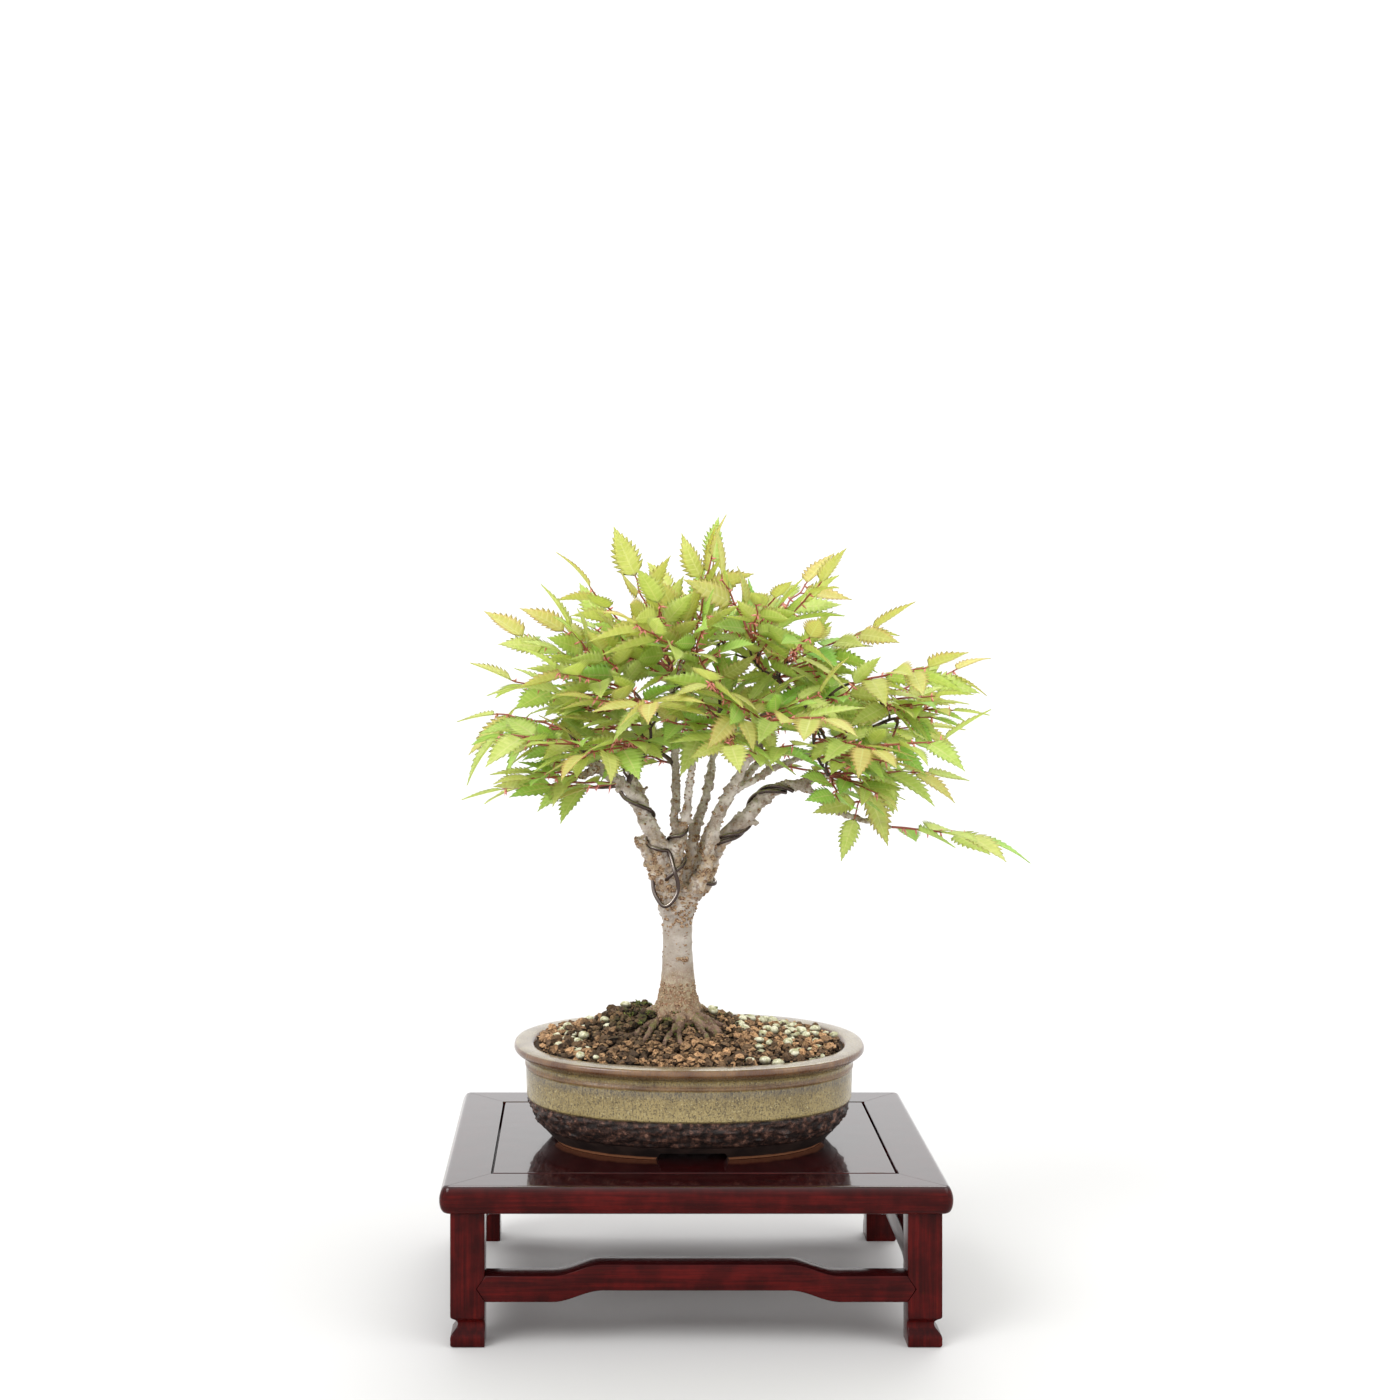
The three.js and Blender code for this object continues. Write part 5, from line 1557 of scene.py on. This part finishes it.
PATTERN, THICKNESS, LEAF_FACES, LEAF_UVS = leaf_pattern()
print("leaf pattern:", len(PATTERN), "corners,", len(LEAF_FACES), "faces")


def leaf_corners(leaf, lean, shares, lifts):
    """The pattern's corners bent and turned into a leaf's place."""
    out, left, face = leaf_frame(leaf, lean)
    along = leaf["length"] * (STALK_SHARE + (1 - STALK_SHARE) * shares[:, 0])
    across = leaf["half_width"] * shares[:, 1]
    bend = leaf["fold"] * np.abs(across) - leaf["arch"] * along**2 / leaf["length"]
    bend = bend + shares[:, 2] * leaf["length"] / 30 + lifts
    return leaf["root"] + np.outer(along, out) + np.outer(across, left) + np.outer(bend, face)


def add_leaf(heap, leaf, lean, tint):
    heap.add(leaf_corners(leaf, lean, PATTERN, THICKNESS), LEAF_FACES, 0, LEAF_UVS, tint)
    shares = np.array([(-STALK_SHARE / (1 - STALK_SHARE) + k * 0.045, 0, 0) for k in range(4)])
    stalk = leaf_corners(leaf, lean, shares, np.array([0.1, 0, -0.05, -0.1]))
    heap.add(*tube(stalk, [0.5, 0.4, 0.36, 0.2], 6), 1, tint=tint)


# %% [markdown]
# ## Leaf green
#
# Light falls on a thin leaf and through it, so the leaf's shader is a mix of a slightly waxy
# surface and a translucent one. Every leaf has its own tint: the first number turns it bronze,
# most of all at its margin, and the second bright green, partly the older leaves' own green and
# partly a painted glow of light through shaded leaves. The flat coordinate of the pattern draws
# the veins: the midrib runs along its middle, and a side vein goes to each of the nine teeth.

# %% The leaf's finish
THROUGH_SHARE = 0.5

leaf_green = Finish("leaf")
flat, tint = leaf_green.stored("shape"), leaf_green.stored("tint")
away = leaf_green.math("ABSOLUTE", flat["X"] - 0.5)
midrib = 1 - leaf_green.step(away, 0.012, 0.045)
ray = leaf_green.math("PINGPONG", flat["Y"] * TEETH, 0.5)
veins = (1 - leaf_green.step(ray, 0.03, 0.16)) * (1 - leaf_green.step(away, 0.3, 0.52) * 0.6)
net = 1 - leaf_green.step(leaf_green.cells(1.0, "DISTANCE_TO_EDGE")["Distance"], 0.02, 0.12)
mottle = leaf_green.noise(5, detail=3)
at_margin = leaf_green.step(away, 0.22, 0.5)
between = leaf_green.step(ray, 0.05, 0.5) * leaf_green.step(away, 0.03, 0.12)
leaf_colour = leaf_green.paint(
    leaf_green.mix(leaf_green.step(mottle, 0.35, 0.65), (0.58, 0.7, 0.2), (0.8, 0.88, 0.37)),
    # Bright green: partly the leaf's own green, partly painted light shining through shaded leaves.
    (tint["Y"], leaf_green.mix(mottle, (0.17, 0.62, 0.09), (0.4, 0.86, 0.2))),
    (tint["X"] * (0.6 + at_margin * 0.4), leaf_green.mix(mottle, (0.88, 0.42, 0.2), (0.98, 0.6, 0.34))),
    (tint["X"] * at_margin * 0.35, (0.7, 0.3, 0.14)),
    (between * 0.3, (0.3, 0.4, 0.05)),
    (midrib * 0.85 + veins * 0.45, (0.9, 0.88, 0.5)),
    (net * 0.1, (0.3, 0.34, 0.08)),
)
blade = leaf_green.surface(
    {
        "Base Color": leaf_colour,
        "Roughness": 0.36 + mottle * 0.15,
        "Specular IOR Level": 0.4,
        "Normal": leaf_green.bump(veins * -0.6 + midrib * -0.5 + net * -0.12, 0.35),
    }
)
glow = leaf_green.node("ShaderNodeBsdfTranslucent", {}, {"Color": (0.92, 0.99, 0.42, 1)})
leaf_green.end(leaf_green.node("ShaderNodeMixShader", {}, {0: THROUGH_SHARE, 1: blade, 2: glow}))

# %% The shoot's finish
shoot_bark = Finish("shoot_bark")
mottle = shoot_bark.noise(1.2, detail=3)
twig = shoot_bark.mix(mottle, (0.24, 0.04, 0.028), (0.44, 0.13, 0.085))
stalk_colour = shoot_bark.mix(mottle, (0.5, 0.25, 0.11), (0.6, 0.5, 0.18))
shoot_bark.end_with_surface(
    {
        "Base Color": shoot_bark.mix(shoot_bark.stored("tint")["Y"], twig, stalk_colour),
        "Roughness": 0.45 + mottle * 0.15,
        "Normal": shoot_bark.bump(mottle, 0.08),
    }
)
stipule_red = Finish("stipule_red")
mottle = stipule_red.noise(1.5)
stipule_red.end_with_surface(
    {
        "Base Color": stipule_red.mix(mottle, (0.72, 0.15, 0.13), (0.88, 0.4, 0.35)),
        "Roughness": 0.4 + mottle * 0.15,
    }
)
LEAF_FINISHES = [leaf_green, shoot_bark, stipule_red]

# %% [markdown]
# ## Sprays
#
# Every spray of the CAD model is replaced by a fine one in the same place, leaf for leaf. Red
# stipules, the little scales that wrapped each bud, still hang in pairs at the joints. Leaves are
# more bronze high in the crown and near a shoot's end, and greener low down and further back: the
# green is partly their own and partly painted light, the glow of light through shaded leaves.

# %% Fine sprays
STIPULE_SHARE = 0.85


def youth_at(height, start, draw):
    """From 0 for shoots low in the crown to 1 for the highest, give or take some chance."""
    return np.clip(start + (height - 225) / 230 + draw(-0.4, 0.4), 0, 1)


def add_shoot(heap, shoot, draw, youth):
    points = np.array(shoot["points"])
    count = len(points) - 1
    radii = np.linspace(0.62, 0.38, len(points))
    rows = [(*p, r) for p, r in zip(points, radii)]
    heap.add(*tube(*Line(rows).sampled(count * 3), 7), 1, tint=(0.5, 0.0))
    for i, leaf in enumerate(shoot["leaves"]):
        if leaf["lean"] is None:
            continue
        share = (i + 1) / count
        bronze = youth * (0.1 + 0.9 * share**2) + draw(-0.7, 0.7) * (0.35 + 0.65 * share)
        # The green is partly the older leaves' own and partly painted light: low, inner leaves are painted
        # bright green as if lit through.
        green = (1.1 - 0.75 * youth) * (1.25 - 0.5 * share) * draw(-0.9, 1.5)
        add_leaf(heap, leaf, leaf["lean"], np.clip((bronze, green), 0, 1))
        if draw(0, 1) < STIPULE_SHARE:
            for hand in (-1, 1):
                droop = leaf["lift"] * (draw(0.4, 1.1) if draw(0, 1) < 0.3 else draw(-1.1, -0.4))
                way = unit(droop + leaf["side"] * hand * draw(0.5, 0.9) + leaf["heading"] * draw(-0.1, 0.5))
                size = draw(2.4, 4.6)
                foot = leaf["root"] - leaf["lift"] * 0.2
                line = [foot, foot + way * size * 0.4, foot + way * size - leaf["lift"] * size * 0.15]
                heap.add(*tube(line, [0.24, 0.54, 0.04], 5), 2)


for number, (shoot, node) in enumerate(zip(shoots, SPRAYS)):
    draw = stream(900 + number)
    heap = Heap()
    add_shoot(heap, shoot, draw, youth_at(shoot["points"][-1][2], 0.35, draw))
    heap.piece(f"fine_{node}", "leaf", LEAF_FINISHES, [node])

# %% [markdown]
# ## Side shoots that fill the crown
#
# Between the main sprays the real crown is full of shorter shoots. They start from the thin
# branches and limbs and head outwards. Every new leaf is tried against all others with a BVH
# tree, a fast search for triangles that cross, and is left out where it would cut through one.
# None hangs lower than the crown's underside, which is arched over the fork.

# %% Side shoots
SIDE_TRIES = 600
SIDE_GROUP = 24
SIDE_JOINT = 6.3
SIDE_YOUTH = 0.7
UNDERSIDE_LIMIT = dict(height=220, arch=32, middle=10, width=62)
CROWN_HEART = vector(CROWN_MIDDLE, 0, 262)
BOX_LOW = np.array(cad_box[0]) / MM - STAND_MIDDLE
BOX_HIGH = np.array(cad_box[1]) / MM - STAND_MIDDLE
CARD_WIDTHS = ((0.02, 0.3), (0.25, 1.05), (0.55, 0.9), (0.8, 0.4), (1, 0.04))
CARD_ROWS = np.array([(v, c * width, 0) for v, width in CARD_WIDTHS for c in (-1, 0, 1)])
CARD_FACES = strips(len(CARD_WIDTHS), 3)


def card(leaf, lean):
    """A coarse copy of a leaf, for finding out what it would touch."""
    return leaf_corners(leaf, lean, CARD_ROWS, 0)


class Crowd:
    """Everything that has been placed, with a middle and a reach for a first quick test."""

    def __init__(self):
        self.trees, self.middles, self.reaches = [], [], []

    def add(self, corners, faces):
        middle = corners.mean(axis=0)
        self.trees.append(BVHTree.FromPolygons(corners.tolist(), faces))
        self.middles.append(middle)
        self.reaches.append(np.linalg.norm(corners - middle, axis=1).max())

    def touches(self, corners, faces):
        middle = corners.mean(axis=0)
        reach = np.linalg.norm(corners - middle, axis=1).max()
        apart = np.linalg.norm(np.array(self.middles) - middle, axis=1)
        near = np.nonzero(apart < np.array(self.reaches) + reach)[0]
        mine = BVHTree.FromPolygons(corners.tolist(), faces)
        return any(mine.overlap(self.trees[i]) for i in near)


def lowest_at(x):
    """The lowest height that a leaf may reach, by its place along the stand."""
    limit = UNDERSIDE_LIMIT
    return limit["height"] + limit["arch"] * math.exp(-(((x - limit["middle"]) / limit["width"]) ** 2))


crowd = Crowd()
for shoot in shoots:
    for leaf in shoot["leaves"]:
        if leaf["lean"] is not None:
            crowd.add(card(leaf, leaf["lean"]), CARD_FACES)
    rows = [(*p, 0.8) for p in shoot["points"]]
    crowd.add(*tube(*Line(rows).sampled(8), 4))
for path in list(limbs.values()) + branches:
    points, radii = path.sampled(8)
    crowd.add(*tube(points, radii + 0.3, 5))

starts = []
for path in branches:
    starts += [(path, t) for t in (0.25, 0.45, 0.62, 0.78, 0.93)]
for name, path in limbs.items():
    if name != "stub":
        starts += [(path, t) for t in (0.6, 0.72, 0.84, 0.95)]
draw = stream(77)
side_shoots = []
for _ in range(SIDE_TRIES):
    path, t = starts[int(draw(0, 1) * len(starts)) % len(starts)]
    along, base = path.along(t), path.point(t)
    out = unit(base - CROWN_HEART)
    chance = vector(draw(-1, 1), draw(-1, 1), draw(-0.5, 0.6))
    heading = unit(0.35 * along + 0.8 * out + 0.75 * chance)
    heading = unit(heading * (1, 1, 0.55))
    joints = 3 + int(draw(0, 3))
    size, length = draw(0.7, 0.98), SIDE_JOINT * joints
    shoot = plan_shoot(heading, joints, draw, base=base, length=length, size=size, calm=0.6)
    lowest = lowest_at(base[0])
    if shoot["points"][-1][2] < lowest + 5:
        continue
    stem = tube(np.array(shoot["points"])[1:], [0.7] * joints, 4)
    if crowd.touches(*stem):
        continue
    for leaf in shoot["leaves"]:
        leaf["lean"] = None
        for lean in LEANS:
            corners = card(leaf, lean)
            inside = (corners > BOX_LOW).all() and (corners < BOX_HIGH).all()
            if inside and corners[:, 2].min() > lowest and not crowd.touches(corners, CARD_FACES):
                leaf["lean"] = lean
                crowd.add(corners, CARD_FACES)
                break
    if sum(leaf["lean"] is not None for leaf in shoot["leaves"]) >= 2:
        side_shoots.append(shoot)
        crowd.add(*stem)
side_leaves = sum(leaf["lean"] is not None for shoot in side_shoots for leaf in shoot["leaves"])
print(f"{len(side_shoots)} side shoots with {side_leaves} leaves")

for first in range(0, len(side_shoots), SIDE_GROUP):
    heap = Heap()
    for k, shoot in enumerate(side_shoots[first : first + SIDE_GROUP]):
        draw = stream(2000 + first + k)
        add_shoot(heap, shoot, draw, youth_at(shoot["points"][-1][2], 0.1, draw) * SIDE_YOUTH)
    heap.piece(f"side_shoots_{first // SIDE_GROUP + 1}", "leaf", LEAF_FINISHES)

# %% [markdown]
# ## Training wires
#
# Soft aluminium wire, anodised dark brown, holds the limbs where they were bent. Its upper left
# side is painted pale as a highlight, broken up by scratches. It is a round tube along the CAD
# wire's points, smoothed and a little thicker, and the right one was laid on double.

# %% Wires
WIRE = dict(radius=0.75, stand=0.35, steps_per_turn=8, fine_radius=1.0)
# The way that the wire's painted highlight faces: up, left and to the front.
HIGHLIGHT_SIDE = (-0.45, -0.35, 0.82)


def wind_round(limb, first, last, turns, phase):
    """Points of a wire wound round a limb between two shares of its length."""
    path = limbs[limb]
    steps = math.ceil(abs(turns) * WIRE["steps_per_turn"])
    points = []
    for i in range(steps + 1):
        share = i / steps
        t = first + (last - first) * share
        along = path.along(t)
        left = unit(np.cross(along, vector(0, 1, 0)))
        front = np.cross(along, left)
        angle = 2 * math.pi * (phase + turns * share)
        distance = path.radius(t) + WIRE["radius"] + WIRE["stand"]
        beside = path.point(t) + left * distance * math.cos(angle)
        points.append(beside + front * distance * math.sin(angle))
    return points


LEFT_LOOP = [
    (-12.4, -5.4, 14), (-11.8, -7.4, 6.5), (-10, -9, 2.3), (-7.4, -10.2, -0.9), (-4.4, -10.6, -0.3),
    (-1.5, -10.4, 3), (0, -9.8, 7), (-0.2, -10.6, 10.6), (-1.6, -11, 15.5),
]
from_loop = [FORK + row for row in np.array(LEFT_LOOP)]
wires = {
    "left": [from_loop + wind_round("left", 0.27, 0.7, -1.46, 0.38)],
    "centre": [wind_round("centre", 0.07, 0.42, 1.75, 0.02)],
    "right": [
        wind_round("farRight", 0.075, 0.13, 1.1, 0) + wind_round("farRight", 0.17, 0.6, 1.5, -0.1),
        wind_round("farRight", 0.2, 0.64, 1.5, -0.1),
    ],
}
wire_metal = Finish("training_wire")
scratches = wire_metal.noise(0.5, detail=4)
normal = wire_metal.node("ShaderNodeNewGeometry")["Normal"]
dot = wire_metal.node("ShaderNodeVectorMath", {"operation": "DOT_PRODUCT"}, {0: normal, 1: HIGHLIGHT_SIDE})
# A painted highlight: where the wire faces that way it is painted pale, broken up by the scratches.
painted_highlight = wire_metal.step(dot["Value"], 0.45, 0.9) * wire_metal.step(scratches, 0.2, 0.5)
dark_wire = wire_metal.mix(scratches, (0.045, 0.03, 0.026), (0.12, 0.088, 0.078))
wire_metal.end_with_surface(
    {
        "Base Color": wire_metal.mix(painted_highlight * 0.85, dark_wire, (0.52, 0.46, 0.42)),
        "Metallic": 0.85,
        "Roughness": 0.17 + scratches * 0.1,
        "Normal": wire_metal.bump(scratches, 0.03),
    }
)
for name, strands in wires.items():
    heap = Heap()
    for points in strands:
        line = Line([(*p, WIRE["fine_radius"]) for p in points])
        heap.add(*tube(*line.sampled(line.last * 8), 12))
    heap.piece(f"wire_{name}", "training_wire", [wire_metal], [f"training_wire_{name}"])

# %% [markdown]
# ## Soil
#
# The pot is filled with a mound of hard clay grains, the largest four to six millimetres across,
# mixed with pale pumice. A closed bed carries them, and each grain is a ball that noise has
# pushed out of round. The bed lies a little low, so that the grains reach the height that the
# CAD soil has. It fits the pot's inner wall, which leans out between two of its rows.

# %% The soil bed
SOIL_SIDES, SOIL_STEPS = 144, 34
WALL_LOW, WALL_HIGH, WALL_FIT = (60, 12), (74.3, 43), 0.2
inner = SOIL["edge"] - POT_BASE
leaning = (WALL_HIGH[0] - WALL_LOW[0]) * (inner - WALL_LOW[1]) / (WALL_HIGH[1] - WALL_LOW[1])
wall = WALL_LOW[0] + leaning - WALL_FIT
top = [(wall * (1 - i / SOIL_STEPS) + 1 * i / SOIL_STEPS, inner) for i in range(SOIL_STEPS + 1)]
profile = np.array([(1, 8.8), (49.7, 8.8), (59.7, 12.3)] + top)
corners = oval_rings(profile, SOIL_SIDES) + vector(0, 0, POT_BASE)
is_top = np.repeat(np.arange(len(profile)) >= 4, SOIL_SIDES)
heights = soil_height(corners[:, 0], corners[:, 1]) - 2.0
corners[:, 2] = np.where(is_top, heights + 0.8 * rough(corners, 5, 5), corners[:, 2])
heap = Heap()
# The bed takes the darkest tint, as painted shade in the gaps between the grains.
heap.add(corners, closed_rings(len(profile), SOIL_SIDES), tint=(0.0, 0.0))

soil_brown = Finish("soil_grains")
tint = soil_brown.stored("tint")
grit = soil_brown.noise(0.9, detail=5, rough=0.75)
patches = soil_brown.noise(3, detail=2)
light_clay = soil_brown.mix(soil_brown.step(grit, 0.35, 0.62), (0.16, 0.062, 0.02), (0.78, 0.47, 0.24))
# Painted shade: the sides and undersides of the grains are darkened nearly to black, where little light
# reaches.
underside_shade = 1 - soil_brown.step(soil_brown.facing_up(), -0.3, 0.55)
clay_colour = soil_brown.paint(
    soil_brown.mix(grit, (0.014, 0.008, 0.004), (0.1, 0.055, 0.026)),
    (tint["X"], light_clay),
    (tint["Y"] * soil_brown.step(patches, 0.4, 0.6), (0.07, 0.075, 0.016)),
    (underside_shade * 0.9, (0.008, 0.005, 0.003)),
)
soil_brown.end_with_surface(
    {
        "Base Color": clay_colour,
        "Roughness": 0.85 + patches * 0.1,
        "Normal": soil_brown.bump(grit, 0.5),
    }
)
heap.piece("soil_bed", "soil_grains", [soil_brown], ["soil"])

# %% [markdown]
# ## Grains
#
# Grains are dropped one after another, the large ones first. A grid keeps the height of the
# ground under each, so a grain comes to rest on those below, and is left out where it would lie
# too high. The first of a grain's tints is how light its clay is, and the second how mossy. It
# is darker where the soil is wet. Pumice lies mostly on the left and the right.

# %% Grains
EDGE_MARGIN = 0.8
HIGHEST = 3.2


def grain(draw, radius, crumbly=0.36, small=False, squash=(0.62, 0.95)):
    """A ball that has been flattened, turned and pushed out of round."""
    corners = SMALL_BALL if small else BALL
    turn = draw(0, 360)
    shape = vector(draw(0.8, 1.2), draw(0.8, 1.1), draw(*squash))
    shift = Vector((draw(0, 99), draw(0, 99), draw(0, 99)))
    push = []
    for place in map(Vector, corners):
        crumbs = noise.noise(place * 1.6 + shift) + 0.6 * noise.noise(place * 4.3 - shift)
        push.append(1 + crumbly * crumbs)
    tilt = draw(-0.6, 0.6)
    x, y, z = (corners * np.array(push)[:, None] * shape * radius).T
    cos, sin = math.cos(tilt), math.sin(tilt)
    return turned(np.column_stack([x, y * cos - z * sin, y * sin + z * cos]), turn)


def pot_share(x, y):
    """How far a place is from the pot's middle towards its inner wall, as a share."""
    return (abs(x / wall) ** ROUNDNESS + abs(y / (wall - NARROWER)) ** ROUNDNESS) ** (1 / ROUNDNESS)


def piled(x, y):
    """How much higher loose grains lie than the bed: round the trunk, most of all on its left."""
    near_trunk = 2.6 * math.exp(-(((x - FORK[0]) / 18) ** 2) - (y / 15) ** 2)
    return near_trunk + 4.2 * math.exp(-(((x + 34) / 17) ** 2) - ((y - 5) / 14) ** 2)


class Ground:
    """A square grid that tells how high the ground is after each grain has landed."""

    def __init__(self, cell=1.0):
        self.cell, self.heights = cell, {}

    def around(self, x, y, radius):
        reach = int(radius / self.cell) + 1
        i, j = round(x / self.cell), round(y / self.cell)
        for a in range(i - reach, i + reach + 1):
            for b in range(j - reach, j + reach + 1):
                away = math.hypot(a * self.cell - x, b * self.cell - y) / radius
                if away < 1 or (a, b) == (i, j):
                    yield a, b, min(away, 0.95)

    def at(self, cell):
        if cell not in self.heights:
            x, y = cell[0] * self.cell, cell[1] * self.cell
            self.heights[cell] = float(soil_height(x, y)) - 2.2 + piled(x, y)
        return self.heights[cell]

    def drop(self, x, y, radius, flat, limit):
        """Where a grain comes to rest, sunk a little among those below, or None if that is too high."""
        cells = list(self.around(x, y, radius))
        levels = sorted(self.at((a, b)) for a, b, _ in cells)
        rest = levels[int(len(levels) * 0.7)] + radius * flat * 0.55
        if rest > limit:
            return None
        for a, b, away in cells:
            top = rest + radius * flat * math.sqrt(1 - away * away)
            self.heights[a, b] = max(self.heights[a, b], top)
        return rest


ground = Ground()


def scatter(draw, count, sizes):
    """Grains dropped one after another; those that would pile up too high are left out."""
    placed = []
    for _ in range(count):
        x, y = draw(-wall, wall), draw(-wall + NARROWER, wall - NARROWER)
        radius = draw(*sizes)
        draw(0, 1)  # one number is skipped, so that grains take four each
        if pot_share(x, y) > 1 - (radius + EDGE_MARGIN) / wall:
            continue
        level = float(soil_height(x, y)) + piled(x, y)
        if wood_tree.find_nearest((x, y, level), radius * 1.1)[0] is not None:
            continue
        z = ground.drop(x, y, radius, 0.8, level + HIGHEST * 0.4 + radius * 0.2)
        if z is not None:
            placed.append((x, y, z, radius))
    return placed


pumice = Finish("pumice")
holes = 1 - pumice.step(pumice.cells(0.6)["Distance"], 0.1, 0.36)
patches = pumice.noise(2.2, detail=3)
stone = pumice.paint(
    pumice.mix(pumice.step(patches, 0.35, 0.65), (0.4, 0.39, 0.21), (0.8, 0.78, 0.6)),
    # Painted shade: the stones' sides and undersides are darkened.
    ((1 - pumice.step(pumice.facing_up(), -0.4, 0.7)) * 0.75, (0.09, 0.07, 0.035)),
    (holes * 0.7, (0.17, 0.15, 0.08)),
)
pumice.end_with_surface(
    {
        "Base Color": stone,
        "Roughness": 0.85 + patches * 0.1,
        "Normal": pumice.bump(holes * -1, 0.35),
    }
)


def pumice_share(x, y):
    """Pumice lies mostly along the left edge and on the right."""
    left = math.exp(-(((x + 56) / 13) ** 2))
    right = math.exp(-(((x - 46) / 22) ** 2)) * (1 + 0.4 * math.tanh(y / 15))
    return 0.05 + 0.62 * left + 0.72 * right


def wet(x, y):
    """The soil is darkest, as if just watered, in front of the trunk and left of it."""
    return math.exp(-(((x - FORK[0] + 24) / 22) ** 2) - ((y + 14) / 22) ** 2)


def mossy(x, y):
    """Green creeps over the grains near the trunk, most of all on its left."""
    return math.exp(-(((x - FORK[0] + 8) / 24) ** 2) - ((y / 20) ** 2))


def grain_tint(draw, x, y, dark_share, dark, light, moss_shade):
    """How light a grain's clay is, and how mossy."""
    shade = (draw(*dark) if draw(0, 1) < dark_share else draw(*light)) * (1 - moss_shade * mossy(x, y))
    shade *= 1 - 0.6 * wet(x, y)
    return shade, mossy(x, y) * draw(0, 1.4)


# How many grains are dropped in each layer, and their radii.
LAYERS = [(900, (2.2, 3.1)), (1500, (1.6, 2.4)), (2500, (1.1, 1.8))]
SMALL_LAYER = (6000, (0.5, 1.1))
draw = stream(5)
clay_heap, pumice_heap = Heap(), Heap()
layers = [scatter(draw, *layer) for layer in LAYERS]
for layer in layers:
    for x, y, z, radius in layer:
        if draw(0, 1) < pumice_share(x, y) * (0.55 if radius > 1.8 else 0.15):
            stone = grain(draw, radius * 1.02, 0.2, squash=(0.6, 0.75))
            pumice_heap.add(stone + (x, y, z + 0.6), BALL_FACES)
            continue
        tint = grain_tint(draw, x, y, 0.42, (0, 0.25), (0.35, 1), 0.75)
        clay_heap.add(grain(draw, radius, 0.62, squash=(0.7, 1)) + (x, y, z), BALL_FACES, tint=tint)
print("grains:", [len(layer) for layer in layers])
clay_heap.piece("grains", "soil_grains", [soil_brown], smooth=False)
pumice_heap.piece("pumice", "soil_grains", [pumice])
small = scatter(draw, *SMALL_LAYER)
heap = Heap()
for x, y, z, radius in small:
    tint = grain_tint(draw, x, y, 0.5, (0, 0.2), (0.3, 1), 0.6)
    heap.add(grain(draw, radius, small=True) + (x, y, z), SMALL_FACES, tint=tint)
print("small grains:", len(small))
heap.piece("small_grains", "soil_grains", [soil_brown], smooth=False)

# %% [markdown]
# ## Moss
#
# Moss has begun to creep over the soil round the trunk. Close up it is a felt of short leafy
# stems, so it is made of many small spikes that lean all ways, in clumps.

# %% Moss
MOSS_CLUMPS, SPIKES = 150, 14
moss = Finish("moss")
mottle = moss.noise(1.5, detail=3)
moss.end_with_surface(
    {
        "Base Color": moss.mix(moss.step(mottle, 0.35, 0.62), (0.04, 0.042, 0.01), (0.2, 0.24, 0.045)),
        "Roughness": 0.75 + mottle * 0.15,
    }
)
draw = stream(31)
heap = Heap()
for _ in range(MOSS_CLUMPS):
    angle, away = draw(0, 2 * math.pi), 8 + 15 * draw(0, 1) ** 1.3
    x, y = FORK[0] - 2 + away * math.cos(angle), away * 0.85 * math.sin(angle)
    z = ground.at((round(x), round(y))) - 0.6
    size = draw(0.8, 2.2)
    for _ in range(SPIKES):
        dx, dy = draw(-size, size), draw(-size, size)
        foot = vector(x + dx, y + dy, z - 0.5)
        way = unit(vector(dx * 0.35 + draw(-0.4, 0.4), dy * 0.35 + draw(-0.4, 0.4), 1))
        spike = [foot, foot + way * draw(0.6, 1.1), foot + way * draw(1.2, 1.9)]
        heap.add(*tube(spike, [0.22, 0.28, 0.03], 4))
heap.piece("moss", "soil_grains", [moss])

# %% The last step
boxes = {"cad": cad_box, "visual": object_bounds()}
{name: [list(map(float, corner)) for corner in box] for name, box in boxes.items()}
